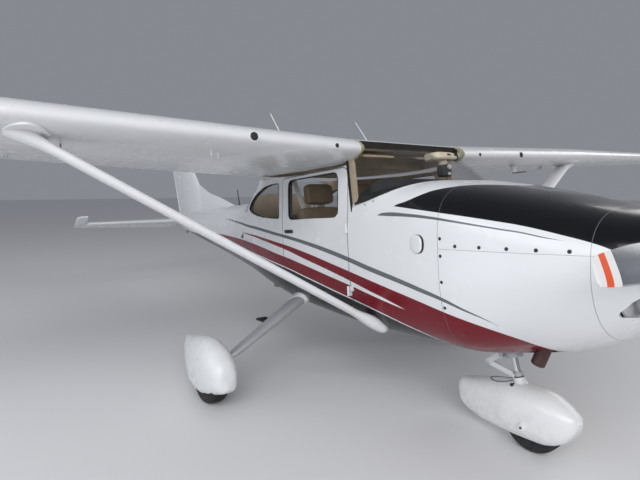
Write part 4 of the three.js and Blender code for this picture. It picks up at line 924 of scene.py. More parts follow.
def airframe_paint():
    graph = Graph("airframe_paint")
    x, y, z = graph.airframe()
    side = graph.math("ABSOLUTE", y)

    def band(top, low):
        return graph.both(graph.above(graph.edge(x, top), z), graph.above(z, graph.edge(x, low)))

    red = graph.above(graph.edge(x, RED_TOP), z)
    gap = band(GAP_TOP, GAP_LOW)
    lower_red = graph.above(graph.edge(x, GAP_LOW), z)
    rear_red = graph.mix(graph.above(x, RED_JOIN_X), lower_red, red)
    red = graph.both(rear_red, graph.flip(gap))
    pin = graph.edge(x, PIN_TOP)
    pinstripe = graph.above(pin, z)
    belly = graph.above(graph.math("SUBTRACT", pin, PIN_WIDTH), z)
    cheat = band(CHEAT_TOP, CHEAT_LOW)
    cowl_stripe = band(COWL_STRIPE_TOP, COWL_STRIPE_LOW)
    glare = graph.both(graph.above(z, graph.edge(x, GLARE_LOW)), graph.above(x, graph.edge(side, GLARE_REAR)))
    white = worn(graph, WHITE)
    colour = graph.mix(graph.both(red, graph.above(x, RED_END_X)), white, BURGUNDY)
    colour = graph.mix(graph.both(pinstripe, graph.above(PIN_FRONT_X, x)), colour, WHITE)
    colour = graph.mix(belly, colour, GLOSS_BLACK)
    colour = graph.mix(cheat, colour, STRIPE_GREY)
    colour = graph.mix(cowl_stripe, colour, STRIPE_GREY)
    colour = graph.mix(glare, colour, GLOSS_BLACK)
    seams = graph.line(x, 0.0, SEAM_HALF)
    seams = graph.math("MAXIMUM", seams, graph.line(x, BOWL_SEAM_X * MM, SEAM_HALF))
    slope = (COWL_SPLIT[1] - COWL_SPLIT[0]) / BOWL_SEAM_X
    split_height = graph.math("MULTIPLY_ADD", x, slope, COWL_SPLIT[0] * MM)
    split = graph.both(graph.line(graph.math("SUBTRACT", z, split_height), 0.0, 0.0013), graph.above(x, 0.0))
    split = graph.both(split, graph.above(0.80, x))
    lap = graph.line(x, CABIN_REAR_X * MM, 0.0012)
    for place in LAP_PLACES:
        lap = graph.math("MAXIMUM", lap, graph.line(x, place, LAP_HALF))
    seams = graph.math("MAXIMUM", graph.math("MAXIMUM", seams, split), lap)
    colour = graph.mix(graph.math("MULTIPLY", seams, 0.6), colour, SEAM)
    gloss_paint(graph, colour)
    return graph.material


def white_paint():
    graph = Graph("white_paint")
    gloss_paint(graph, worn(graph, WHITE))
    return graph.material


def fairing_resin():
    """Sprayed moulded resin, dusty, with clouds of painted shade low down and chips there."""
    graph = Graph("fairing_resin")
    height = graph.dot(graph.coordinates, (0, 0, 1))
    low = graph.spread(height, 0.34, 0.16)
    # Painted shade: noisy clouds that darken the resin towards grey-brown low down
    painted_low_shade = graph.both(low, graph.spread(graph.noise(22, 6, 0.7), 0.45, 0.75, 0.0, 0.30))
    chips = graph.spread(graph.cells(38), 0.04, 0.02, 0.0, 0.35)
    colour = graph.mix(painted_low_shade, worn(graph, (0.79, 0.80, 0.80, 1), 0.12), (0.30, 0.29, 0.27, 1))
    colour = graph.mix(graph.both(chips, low), colour, (0.22, 0.21, 0.20, 1))
    gloss_paint(graph, colour, 0.26, 0.10)
    return graph.material


def clear_pane():
    """Old clear acrylic: seen through from the front, mirror-like at a slant, with fine scratches."""
    graph = Graph("clear_pane")
    slant = graph.node("ShaderNodeLayerWeight").outputs["Facing"]
    scratches = graph.spread(graph.noise(90, 8, 0.75, graph.scaled((1, 6, 1))), 0.55, 0.85, 0.0, 0.05)
    clear = graph.math("MULTIPLY_ADD", graph.math("POWER", slant, 5.0), 0.5, 0.05)
    graph.set(Base_Color=(0.03, 0.032, 0.03, 1), Roughness=0.03, Specular_IOR_Level=0.7, Coat_Weight=0.2)
    graph.set(Alpha=graph.math("ADD", clear, scratches, clamp=True))
    graph.set(Normal=graph.bump(graph.noise(2.3, 2), 0.06, 0.003))
    return graph.material


def shade_of(colour, factor, lift=0.0):
    """A darker or lighter shade of a colour."""
    return tuple(min(1.0, c * factor + lift) for c in colour[:3]) + (1,)


def leather():
    graph = Graph("tan_leather")
    colour = (0.36, 0.27, 0.175, 1)
    shade = graph.spread(graph.noise(6, 6), 0.3, 0.75)
    grain = graph.cells(900)
    base = graph.mix(shade, shade_of(colour, 0.72), colour)
    graph.set(Base_Color=base, Roughness=graph.spread(grain, 0.1, 0.8, 0.42, 0.62), Sheen_Weight=0.08)
    wrinkle = graph.bump(graph.noise(14, 5, 0.6), 0.20, 0.006)
    graph.set(Normal=graph.bump(grain, 0.28, 0.0012, wrinkle))
    return graph.material


def moulded(name, colour, rough=0.6, grain_scale=1400, grain=0.25):
    """Moulded plastic or crackle paint, with its grain."""
    graph = Graph(name)
    shade = graph.spread(graph.noise(9, 5), 0.35, 0.75, 0.0, 1.0)
    graph.set(Base_Color=graph.mix(shade, colour, shade_of(colour, 1.28, 0.004)))
    graph.set(Roughness=graph.spread(graph.noise(30, 4), 0.3, 0.7, rough * 0.85, min(1.0, rough * 1.15)))
    graph.set(Normal=graph.bump(graph.cells(grain_scale), grain, 0.0008))
    return graph.material


def carpet():
    graph = Graph("cabin_carpet")
    tufts = graph.noise(700, 3, 0.8)
    shade = graph.mix(graph.spread(graph.noise(18, 5), 0.3, 0.7),
                      (0.16, 0.125, 0.09, 1), (0.28, 0.225, 0.165, 1))
    graph.set(Base_Color=graph.mix(graph.spread(tufts, 0.35, 0.65, 0, 0.5), shade, (0.10, 0.08, 0.06, 1)))
    graph.set(Roughness=1.0, Sheen_Weight=0.3, Normal=graph.bump(tufts, 0.7, 0.004))
    return graph.material


def polished_metal(name, colour=(0.66, 0.67, 0.69, 1), rough=0.16, stretch=(1, 1, 30)):
    """Bright metal with fine brushing and a few dull clouds."""
    graph = Graph(name)
    brushing = graph.noise(240, 4, 0.7, graph.scaled(stretch))
    clouds = graph.spread(graph.noise(5, 5), 0.35, 0.75, 0.0, 1.0)
    graph.set(Base_Color=graph.mix(clouds, colour, shade_of(colour, 0.82)), Metallic=1.0)
    graph.set(Roughness=graph.math("ADD", graph.spread(brushing, 0.3, 0.7, rough * 0.7, rough * 1.3),
                                   graph.math("MULTIPLY", clouds, rough * 0.5)))
    graph.set(Normal=graph.bump(brushing, 0.05, 0.0004))
    return graph.material


def aluminium_paint():
    """Silver paint with road dust, on the landing gear legs."""
    graph = Graph("silver_paint")
    colour = worn(graph, (0.50, 0.51, 0.52, 1), 0.2)
    graph.set(Base_Color=colour, Metallic=0.55,
              Roughness=graph.spread(graph.noise(25, 4), 0.3, 0.7, 0.30, 0.45))
    graph.set(Normal=graph.bump(graph.noise(400, 2), 0.06, 0.0005))
    return graph.material


def blade_metal():
    """A polished blade face with its painted bands near the tip, fine nicks and a dull root."""
    graph = Graph("blade_metal")
    _, y, _ = graph.airframe()
    out = graph.math("ABSOLUTE", y)
    brushing = graph.noise(200, 4, 0.7, graph.scaled((1, 14, 1)))
    metal = graph.mix(graph.spread(graph.noise(4, 4), 0.35, 0.7),
                      (0.62, 0.63, 0.66, 1), (0.50, 0.51, 0.54, 1))
    painted = graph.above(out, 0.897)
    orange = graph.both(graph.above(out, 0.948), graph.above(0.993, out))
    scuffs = graph.spread(graph.noise(70, 6, 0.7), 0.66, 0.74, 0.0, 0.5)
    bands = graph.mix(orange, (0.84, 0.83, 0.81, 1), (0.80, 0.10, 0.02, 1))
    bands = graph.mix(scuffs, bands, (0.55, 0.54, 0.52, 1))
    graph.set(Base_Color=graph.mix(painted, metal, bands), Metallic=graph.flip(painted))
    metal_rough = graph.spread(brushing, 0.3, 0.7, 0.13, 0.26)
    graph.set(Roughness=graph.math("ADD", metal_rough, graph.math("MULTIPLY", painted, 0.2)))
    graph.set(Normal=graph.bump(brushing, 0.04, 0.0004))
    return graph.material


def burnt_steel():
    """An exhaust pipe, straw and blue from heat, sooty at its end."""
    graph = Graph("burnt_steel")
    height = graph.dot(graph.coordinates, (0, 0, 1))
    heat = graph.spread(height, 0.85, 0.62)
    base = graph.mix(heat, (0.04, 0.028, 0.032, 1), (0.13, 0.075, 0.075, 1))
    rust = graph.spread(graph.noise(36, 6, 0.7), 0.4, 0.7)
    base = graph.mix(graph.math("MULTIPLY", rust, 0.35), base, (0.12, 0.05, 0.03, 1))
    graph.set(Base_Color=base, Metallic=0.85, Roughness=graph.spread(rust, 0, 1, 0.42, 0.75))
    graph.set(Normal=graph.bump(graph.noise(120, 5), 0.25, 0.001))
    return graph.material


def tyre_rubber():
    graph = Graph("tyre_rubber")
    dust = graph.spread(graph.noise(16, 6, 0.7), 0.45, 0.8, 0.0, 0.45)
    base = graph.mix(dust, (0.018, 0.018, 0.019, 1), (0.085, 0.08, 0.072, 1))
    graph.set(Base_Color=base, Roughness=graph.spread(graph.noise(60, 4), 0.3, 0.7, 0.72, 0.95))
    graph.set(Normal=graph.bump(graph.noise(500, 4, 0.7), 0.3, 0.0008))
    return graph.material


def engine_iron():
    graph = Graph("engine_iron")
    oily = graph.spread(graph.noise(12, 6, 0.65), 0.35, 0.7)
    base = graph.mix(oily, (0.035, 0.036, 0.038, 1), (0.10, 0.10, 0.105, 1))
    graph.set(Base_Color=base, Metallic=0.5, Roughness=graph.spread(oily, 0, 1, 0.38, 0.7))
    fins = graph.math("SINE", graph.math("MULTIPLY", graph.dot(graph.coordinates, (0, 0, 1)), 420.0))
    graph.set(Normal=graph.bump(fins, 0.5, 0.004))
    return graph.material


def lens(name, colour):
    graph = Graph(name)
    graph.set(Base_Color=colour, Roughness=0.08, Transmission_Weight=0.6, Coat_Weight=0.5)
    graph.set(Normal=graph.bump(graph.cells(300), 0.4, 0.002))
    return graph.material


PAINT = airframe_paint()
WHITE_PAINT = white_paint()
RESIN = fairing_resin()
PANE = clear_pane()
LEATHER = leather()
TRIM = moulded("cabin_trim", (0.47, 0.38, 0.27, 1), 0.62)
PALE_TRIM = moulded("headliner", (0.60, 0.52, 0.40, 1), 0.8, 900)
DARK = moulded("dark_panel", (0.016, 0.016, 0.018, 1), 0.55)
TINTED = moulded("tinted_edge", (0.020, 0.016, 0.012, 1), 0.12, 300, 0.02)
PALE_SEAL = moulded("pale_seal", (0.34, 0.32, 0.19, 1), 0.6, 500, 0.1)
RUBBER_SEAL = moulded("rubber_seal", (0.012, 0.012, 0.012, 1), 0.5, 500, 0.1)
CARPET = carpet()
# Painted shade: the cut edges in door gaps and openings are dark grey for the shade in the gaps
GAP_SHADE_EDGE = moulded("edges_in_painted_shade", (0.10, 0.10, 0.10, 1), 0.6, 500, 0.1)
ALUMINIUM = polished_metal("bare_aluminium")
CHROME = polished_metal("chrome", (0.78, 0.78, 0.78, 1), 0.06, (1, 1, 4))
STEEL = polished_metal("plain_steel", (0.42, 0.42, 0.43, 1), 0.32)
SILVER = aluminium_paint()
BLADE = blade_metal()
BLADE_BACK = moulded("blade_back", (0.014, 0.014, 0.015, 1), 0.6, 700, 0.12)
BURNT = burnt_steel()
TYRE = tyre_rubber()
IRON = engine_iron()
LENS = lens("clear_lens", (0.9, 0.9, 0.9, 1))
RED_LENS = lens("red_lens", (0.75, 0.02, 0.02, 1))
GREEN_LENS = lens("green_lens", (0.02, 0.55, 0.12, 1))
SIGNAL_WHITE = moulded("white_marks", (0.7, 0.7, 0.66, 1), 0.5)


# Body: hull, cabin shell, doors and windows

body_outer = work(body_solid())
body_seated = work(body_solid(-SEAT_GAP))
hull_seated = join(body_seated, band_solid(-SEAT_GAP))
cabin_lining = hull_solid(WALL + 4)
wall = cut(join(body_outer, band_solid()), hull_solid(WALL))


def camber_line(f):
    p = CAMBER_PLACE
    fore = CAMBER / p ** 2 * (2 * p * f - f ** 2)
    aft = CAMBER / (1 - p) ** 2 * (1 - 2 * p + 2 * p * f - f ** 2)
    return np.where(f < p, fore, aft)


def half_thickness(f, thickness):
    f = np.asarray(f, float)
    return 5 * thickness * (0.2969 * np.sqrt(f) - 0.126 * f - 0.3516 * f ** 2 + 0.2843 * f ** 3
                            - 0.1036 * f ** 4)


def wing_station(y):
    out = max(0, (y - PANEL_BREAK_Y) / (TIP_RIB_Y - PANEL_BREAK_Y))
    along = (y - ROOT_Y) / (TIP_RIB_Y - ROOT_Y)
    return {
        "chord": ROOT_CHORD + (TIP_CHORD - ROOT_CHORD) * out,
        "nose_x": WING_NOSE_X - TIP_SWEEP * out,
        "nose_z": WING_NOSE_Z + (y - ROOT_Y) * DIHEDRAL,
        "pitch": ROOT_INCIDENCE + (TIP_INCIDENCE - ROOT_INCIDENCE) * along,
        "depth": 1.0,
    }


def wing_point(y, f, side, station=None):
    """Points on the upper side (1), the lower side (-1) or the camber line (0), at shares of the chord."""
    s = station or wing_station(y)
    f = np.asarray(f, float)
    back = f * s["chord"]
    up = (camber_line(f) + side * s["depth"] * half_thickness(f, WING_THICKNESS)) * s["chord"]
    x = s["nose_x"] - back * math.cos(s["pitch"]) + up * math.sin(s["pitch"])
    z = s["nose_z"] + up * math.cos(s["pitch"]) - back * math.sin(s["pitch"])
    return np.stack(np.broadcast_arrays(x, float(y), z), axis=-1)


CHORD_PLACES = chord_shares(42, 0.992)


def wing_ring(y, station=None):
    above = wing_point(y, CHORD_PLACES, 1, station)
    below = wing_point(y, CHORD_PLACES[1:][::-1], -1, station)
    return np.concatenate([above, below])


def roof_slab(drop=0):
    ends = (-ROOT_Y + SEAT_GAP, ROOT_Y - SEAT_GAP)
    rings = [wing_ring(y, wing_station(ROOT_Y)) for y in np.linspace(ends[0], ends[1], 12)]
    return shifted(loft(rings), (0, 0, -drop))


def build_roof():
    front = box(ROOF_FRONT_X, 0, -700, 700, 400, 1000)
    hollow = box(SPAR_X, 0, WALL - ROOT_Y, ROOT_Y - WALL, 400, 675)
    roof = cut(roof_slab(), front, hollow)

    def choose(centres, normals):
        front = (normals[:, 0] > 0.9) & (centres[:, 0] > ROOF_FRONT_X - 2)
        inside = (centres[:, 2] < 690) & (np.abs(centres[:, 1]) < ROOT_Y - WALL + 1) & (normals[:, 2] < 0.3)
        return np.where(front, 2, np.where(inside, 1, 0))

    piece("roof_skin", roof, "root", [WHITE_PAINT, PALE_TRIM, TINTED], ["roof"], choose)
    seals = []
    for side in NAMES:
        for y, grow in ((535, 3), (524, -2), (513, -8)):
            nose = np.array([0.055, 0.03, 0.012, 0.002])
            chin = [0, 0.004, 0.02, 0.05]
            path = np.concatenate([wing_point(ROOT_Y, nose, 1), wing_point(ROOT_Y, chin, -1)])
            middle = path.mean(axis=0)
            away = (path - middle) / np.linalg.norm(path - middle, axis=1, keepdims=True)
            path = path + away * grow
            path[:, 1] = side * y
            seals.append(tube(path, 5, 10))
    piece("root_seals", merged(*seals), "root", PALE_SEAL)
    whips = []
    for side in NAMES:
        foot = np.array([-1630, 500 * side, 720.0])
        tip = np.array([-1994, 500 * side, 1175.0])
        whips.append(tube([foot, foot + (tip - foot) * 0.12, tip], [8, 7, 4.5], 10))
        whips.append(lathe([(0.5, 0), (26, 0), (24, 9), (12, 22), (0.5, 26)], foot + (0, 0, -14), 2, 20))
    piece("whip_aerials", merged(*whips), "root", SIGNAL_WHITE)


def side_span(side, near, far):
    """Two distances to port as a low and a high y on a side."""
    return sorted((side * near, side * far))


def windshield_space(grow=0):
    corners = [(-772 - grow, 150), (-845 - grow, 610), (-845 - grow, 900), (900, 900), (900, 150)]
    return prism(corners, 1, -700, 700)


def rear_window_space(grow=0):
    corners = [(-2690 + grow, 300 - grow), (-2420 + grow, 575 + grow), (-2420 + grow, 700), (-3900, 700),
               (-3900, 300 - grow)]
    return prism(corners, 1, -700, 700)


def side_window_outline(grow=0):
    outline = eased(SIDE_WINDOW, SIDE_WINDOW_EASE, 10)
    middle = outline.mean(axis=0)
    offset = outline - middle
    return middle + offset * (1 + grow / np.linalg.norm(offset, axis=1, keepdims=True))


def side_prism(outline, side):
    return prism(outline, 1, *side_span(side, 300, 800))


def window_seal(name, body, side, outline):
    """A rubber seal over a window's edge; outline gives the window grown by a distance."""
    rim = cut(side_prism(outline(4), side), side_prism(outline(-5), side))
    plain(name, keep(band_shell(-1.5, 12), rim), RUBBER_SEAL, body)


def skin_faces(centres, normals):
    """0 on the outer skin, 1 on the lining, 2 on cut edges, which are dark grey as painted shade."""
    facing = (normals * hull_normals(centres)).sum(axis=1)
    on_skin = (np.abs(hull_distance(centres)) < PAINT_DEPTH) & (facing > FACES_OUT)
    return np.where(on_skin, 0, np.where(facing < FACES_IN, 1, 2))


def skin_piece(name, shape, body, lining, node):
    """A painted piece of the body's skin, with its lining, and its cut edges dark grey as painted shade in
    the gaps.
    """
    piece(name, shape, body, [PAINT, lining, GAP_SHADE_EDGE], [node], skin_faces, on_hull=True)


def hinge_barrels(hinge, side, fixed):
    """The fixed or the swinging halves of a door's hinges, each with a leaf on the skin."""
    x, y, heights = hinge
    half = HINGE_LENGTH / 2
    shapes = []
    for z in heights:
        z0, z1 = (z, z + half) if fixed else (z - half, z - SEAT_GAP)
        reach = 30 if fixed else -30
        shapes.append(rod((x, y * side, z0), (x, y * side, z1), HINGE_RADIUS, sides=24))
        shapes.append(box(min(x, x + reach), max(x, x + reach), *side_span(side, y - 34, y - 14), z0, z1))
    return merged(*shapes)


def build_cabin_shell():
    length = between(CABIN_REAR_X, -1.2)
    overhead = between(-3000, ROOF_FRONT_X, 600)
    windshield = cut(windshield_space(), body_outer)
    rear_glass = cut(rear_window_space(), body_outer)
    outlines = (frame_outline(*DOOR), side_window_outline())
    openings = [both_sides(side_prism(outline, 1)) for outline in outlines]
    baggage = side_prism(frame_outline(*BAGGAGE_DOOR), 1)
    shell = cut(keep(wall, length), overhead, windshield, rear_glass, *openings, baggage,
                roof_slab(-SEAT_GAP), roof_slab(30))
    plate = keep(body_solid(14), between(-8, 0))
    piece("firewall_plate", plate, "root", STEEL, ["firewall"])
    skin_piece("cabin_skin", shell, "root", TRIM, "cabin_shell")
    hinges = [hinge_barrels(hinge, side, True)
              for hinge, side in ((DOOR_HINGE, 1), (DOOR_HINGE, -1), (BAGGAGE_HINGE, 1))]
    plain("fixed_hinges", merged(*hinges), WHITE_PAINT)


def door_window(grow):
    return frame_outline(*DOOR_WINDOW, grow=grow)


def build_door(side):
    name = NAMES[side]
    body = "door_" + name
    outer = side_prism(frame_outline(*DOOR, grow=-DOOR_GAP), side)
    door = cut(keep(wall, outer), side_prism(door_window(0), side))
    skin_piece(body + "_skin", door, body, TRIM, body)
    plain(body + "_hinges", hinge_barrels(DOOR_HINGE, side, False), WHITE_PAINT, body)
    pane = keep(band_shell(4, 10), side_prism(door_window(-SEAT_GAP), side))
    piece("door_pane_" + name, pane, body, PANE, ["door_window_" + name])
    window_seal("door_seal_" + name, body, side, door_window)
    plate = prism(frame_outline(-1718, -1586, 81, 109, 13), 1, *side_span(side, 540, 571))
    paddle = prism(frame_outline(-1700, -1640, 86, 104, 8), 1, *side_span(side, 560, 576))
    plain("door_handle_" + name, merged(plate, paddle), DARK, body)
    corners = [(-1560, -40), (-1080, -40), (-1080, 20), (-1560, 20)]
    rest = pillow(corners, 1, *side_span(side, 470, 522), 24, 18)
    plain("door_armrest_" + name, rest, LEATHER, body)


def build_baggage_door():
    outer = side_prism(frame_outline(*BAGGAGE_DOOR, grow=-DOOR_GAP), 1)
    skin_piece("baggage_skin", keep(wall, outer), "baggage_door", TRIM, "baggage_door")
    latch = lathe([(0.5, 0), (24, 0), (22, 5), (8, 7), (0.5, 7)], (-2560, 496, -20), 1, 24)
    fittings = merged(hinge_barrels(BAGGAGE_HINGE, 1, False), latch)
    piece("baggage_fittings", fittings, "baggage_door", WHITE_PAINT)


def build_fixed_windows():
    shell = band_shell(4, 10)
    inside = between(ROOF_FRONT_X + SEAT_GAP, FAR, 100, 719)
    low_front = between(-900, ROOF_FRONT_X + 20, 100, 560)
    pane = cut(keep(shell, windshield_space(-SEAT_GAP)), body_seated)
    pane = cut(keep(pane, join(inside, low_front)), roof_slab(-SEAT_GAP))
    piece("windshield_pane", pane, "root", PANE, ["windshield"])
    rear = cut(keep(shell, rear_window_space(-SEAT_GAP)), body_seated, roof_slab(-SEAT_GAP))
    rear = keep(rear, between(-4000, -2300, 0, 600))
    piece("rear_pane", rear, "root", PANE, ["rear_window"])
    for side, name in NAMES.items():
        side_pane = keep(shell, side_prism(side_window_outline(-SEAT_GAP), side))
        piece("side_pane_" + name, side_pane, "root", PANE, ["side_window_" + name])
        window_seal("side_seal_" + name, "root", side, side_window_outline)
    strip = cut(windshield_space(3), windshield_space(-8))
    strip = keep(band_shell(-2, 12), strip, between(-900, -700, 150, 600))
    plain("windshield_post_seals", cut(strip, body_outer), RUBBER_SEAL)
    post = cut(windshield_space(-6), windshield_space(-52))
    post = keep(band_shell(14, 34), post, between(-900, -700, 150, 640))
    plain("windshield_posts", cut(post, body_solid(20)), TRIM)


def build_tailcone():
    length = between(TAIL_END_X, CABIN_REAR_X - SEAT_GAP)
    inside = keep(body_solid(4), between(TAIL_END_X - 10, CABIN_REAR_X + 10))
    slot = box(-6400, STAB_HINGE + 40, -300, 300, STAB_Z - 40, STAB_Z + 40)
    cone = cut(keep(body_outer, length), inside, slot)
    skin_piece("tailcone_skin", cone, "root", TRIM, "tailcone")
    aerial = tube([(-3880, 0, 402), (-3900, 0, 510), (-3925, 0, 625)], [9, 7, 5], 12)
    foot = lathe([(0.5, 0), (34, 0), (30, 8), (12, 16), (0.5, 18)], (-3880, 0, 404), 2, 24)
    plain("tail_aerial", merged(aerial, foot), DARK)
    plate = cut(box(-6125, -6055, -5, 5, 40, 125), rod((-6090, -10, 58), (-6090, 10, 58), 8))
    plain("tail_tie_down", plate, STEEL)


def build_cowl():
    rear_split, front_split = COWL_SPLIT
    halves = []
    for gap, far in ((SEAT_GAP / 2, FAR), (-SEAT_GAP / 2, -FAR)):
        corners = [(0, rear_split + gap), (BOWL_SEAM_X, front_split + gap), (BOWL_SEAM_X, far), (0, far)]
        halves.append(prism(corners, 1, -FAR, FAR))
    above, below = halves
    sheet = cut(body_outer, body_solid(SHEET))
    skin_piece("cowl_upper_skin", keep(sheet, above), "root", DARK, "cowl_upper")
    outlet = box(-10, 120, -260, 260, -900, -600)
    leg_well = box(-10, 330, -110, 110, -900, -300)
    bend, end = np.array([470, -205, -405.0]), np.array([366, -205, -648.0])
    pipe_hole = rod(bend, 2 * end - bend, 62, sides=32)
    lower = cut(keep(sheet, below), outlet, leg_well, pipe_hole)
    skin_piece("cowl_lower_skin", lower, "root", DARK, "cowl_lower")
    down = unit(end - bend)
    outside = tube([(470, -205, -340), (470, -205, -380), bend + (0, 0, -4), bend + down * 24, end], 38, 32)
    bore = rod(end - down * 180, end + down * 40, 34, sides=32)
    piece("exhaust_pipe_metal", cut(outside, bore), "root", BURNT, ["exhaust_pipe"])


def build_nose_bowl():
    part = between(BOWL_SEAM_X + SEAT_GAP, 1100)
    hollow = keep(body_solid(26), between(700, 950))
    inlet = prism(eased([(130, -120), (130, 60), (290, 20), (330, -70), (250, -140)], 50, 10), 0, 800, 1100)
    recess = prism(frame_outline(-360, 360, -300, -190, 40), 0, 826, 1100)
    shaft = rod((800, 0, 0), (1100, 0, 0), 75, sides=48)
    bowl = cut(keep(body_outer, part), hollow, both_sides(inlet), recess, shaft)

    def choose(centres, normals):
        inside = np.abs(hull_distance(centres)) > 4
        return np.where(inside & (centres[:, 0] < 945) & (centres[:, 2] > -185), 1, 0)

    piece("nose_bowl_skin", bowl, "root", [PAINT, DARK], ["nose_bowl"], choose, on_hull=True)
    tray = keep(body_solid(40), box(826, 960, -372, 372, -314, -176))
    piece("lamp_tray", cut(tray, box(834, 1000, -352, 352, -302, -188)), "root", WHITE_PAINT)
    places = [(0, y, -245) for y in (-200, 0, 200)]
    reflector = [(r * 0.72, x) for r, x in ((20, 838), (70, 878), (72, 882), (68, 882), (18, 842))]
    glass = [(0.5, 880), (50, 880), (50, 884), (0.5, 889)]
    lamps = merged(*[lathe(reflector, place, 0, 40) for place in places])
    piece("lamp_reflectors", lamps, "root", CHROME)
    glasses = merged(*[lathe(glass, place, 0, 40) for place in places])
    piece("lamp_glasses", glasses, "root", LENS)
    cover = keep(body_shell(2, 5), prism(frame_outline(-356, 356, -296, -194, 38), 0, 828, 1000))
    plain("lamp_cover", cover, PANE)


build_roof()
build_cabin_shell()
build_door(1)
build_door(-1)
build_baggage_door()
build_fixed_windows()
build_tailcone()
build_cowl()
build_nose_bowl()


# Propeller and spinner

BLADE_PLACES = chord_shares(26, 0.985)


def blade_half(f, thick):
    return half_thickness(f, 1) / half_thickness(0.3, 1) * thick / 2


def blade_ring(nose, tail, thick, across):
    nose, tail, across = (np.array(v, float) for v in (nose, tail, across))
    line = nose + np.outer(BLADE_PLACES, tail - nose)
    depth = np.outer(blade_half(BLADE_PLACES, thick), across)
    return np.concatenate([line + depth, (line - depth)[1:][::-1]])


def build_propeller():
    chord, thick, pitch = columns([
        (90, 90, 70, 45), (220, 118, 46, 36), (420, 152, 26, 27), (700, 148, 17, 19), (930, 122, 11, 15),
        (1015, 102, 8, 14), (1034, 94, 6, 14), (PROP_RADIUS, 74, 4, 14),
    ])
    rings = []
    for r in np.concatenate([np.linspace(90, 1000, 60), np.linspace(1004, PROP_RADIUS, 14)]):
        angle = math.radians(pitch(r))
        way = np.array([math.sin(angle), 0, math.cos(angle)])
        nose = np.array([PROP_X, r, 0]) + way * chord(r) * 0.55
        across = (math.cos(angle), 0, -math.sin(angle))
        rings.append(blade_ring(nose, nose - way * chord(r), thick(r), across))
    blade = loft(rings)
    other = (blade[0] * (1, -1, -1), blade[1])
    piece("propeller_blades", merged(blade, other), "propeller", [BLADE, BLADE_BACK],
          ["propeller"], lambda centres, normals: normals[:, 0] < -0.15)
    hub = merged(rod((HUB_BACK_X, 0, 0), (PROP_X + 60, 0, 0), 62, sides=48),
                 rod((PROP_X, -105, 0), (PROP_X, 105, 0), 46, sides=40))
    plain("propeller_hub", hub, ALUMINIUM, "propeller")


def build_spinner():
    rise = np.sin(np.linspace(0, math.pi / 2, 40))

    def profile(radius, length):
        return [(max(0.01, radius * math.sqrt(max(0, 1 - f ** 2.2))), f * length) for f in rise]

    back = HUB_BACK_X + 4
    outer = profile(SPINNER_RADIUS, SPINNER_LENGTH)
    inner = profile(SPINNER_RADIUS - 5, SPINNER_LENGTH - 8)[::-1]
    shell = lathe([(r, back + x) for r, x in outer + inner], (0, 0, 0), 0, 96)
    opening = frame_outline(back - 20, PROP_X + 66, -62, 62, 30)
    gap = merged(*[prism(opening, 1, *side_span(side, 100, 300)) for side in NAMES])
    piece("spinner_shell", cut(shell, gap), "propeller", ALUMINIUM, ["spinner"])
    rim = SPINNER_RADIUS - 5
    plate = lathe([(62.6, back), (rim, back), (rim, back + 5), (62.6, back + 5)], (0, 0, 0), 0, 96)
    plain("spinner_backplate", plate, ALUMINIUM, "propeller")
    screws = []
    for i in range(12):
        angle = (i + 0.5) / 12 * 2 * math.pi
        way = np.array([0.06, math.cos(angle), math.sin(angle)])
        place = np.array([back + 16, 0, 0]) + way * (0, SPINNER_RADIUS - 1.2, SPINNER_RADIUS - 1.2)
        screws.append(dome(place, way, 5, 2.4, 10))
    plain("spinner_screws", merged(*screws), STEEL, "propeller")


build_propeller()
build_spinner()


# Wings

def wing_solid():
    inner = np.linspace(ROOT_Y, PANEL_BREAK_Y, 81)
    outer = np.linspace(PANEL_BREAK_Y, TIP_RIB_Y, 112)[1:]
    rings = [wing_ring(y) for y in np.concatenate([inner, outer])]
    tip = wing_station(TIP_RIB_Y)
    size = smooth_curve([0, 0.667, 1], [1, 0.95, 0.78])
    for u in np.sin(np.linspace(0, math.pi / 2, 14))[1:]:
        chord = tip["chord"] * float(size(u))
        station = dict(tip, chord=chord, nose_x=tip["nose_x"] - (tip["chord"] - chord) * 0.41,
                       nose_z=tip["nose_z"] - 12 * u ** 2, depth=math.sqrt(max(0.02, 1 - u ** 5)))
        rings.append(wing_ring(TIP_RIB_Y + (SEMI_SPAN - TIP_RIB_Y) * u, station))
    return loft(rings)


def surface_space(start, end, r0, r1, gap):
    """The space of a control surface: round about its hinge line, and all that lies behind it."""
    start, end = np.array(start, float), np.array(end, float)
    along = unit(end - start)
    start, end = start - along * gap, end + along * gap
    back = np.array([-900.0, 0, 0])
    up = np.cross(along, back)
    up *= 400 / np.linalg.norm(up)
    slab = loft([np.array([p + up, p + up + back, p - up + back, p - up]) for p in (start, end)])
    return join(rod(start, end, r0 + gap, r1 + gap, 64), slab)


def press_ribs(obj, hinge_x, first, last, front, rear, depth, pitch):
    """Presses shallow ribs across a thin surface, from front to rear behind its hinge line."""
    points = vectors(obj.data.vertices, "co")
    normals = vectors(obj.data.vertices, "normal")
    y = np.abs(points[:, 1])
    back = hinge_x - points[:, 0]
    wave = 0.5 - 0.5 * np.cos(2 * math.pi * (y - first) / pitch)
    ridge = np.clip(wave * 1.8 - 0.7, 0, 1)
    fade = np.clip((back - front) / 25, 0, 1) * np.clip((rear - back) / 25, 0, 1)
    inside = (y > first) & (y < last)
    rise = ridge * fade * inside * depth
    points = points + normals * rise[:, None] * (np.abs(normals[:, 2:3]) > 0.8)
    obj.data.vertices.foreach_set("co", points.ravel())


WING_SHAPE = wing_solid()
whole_wing = work(WING_SHAPE)


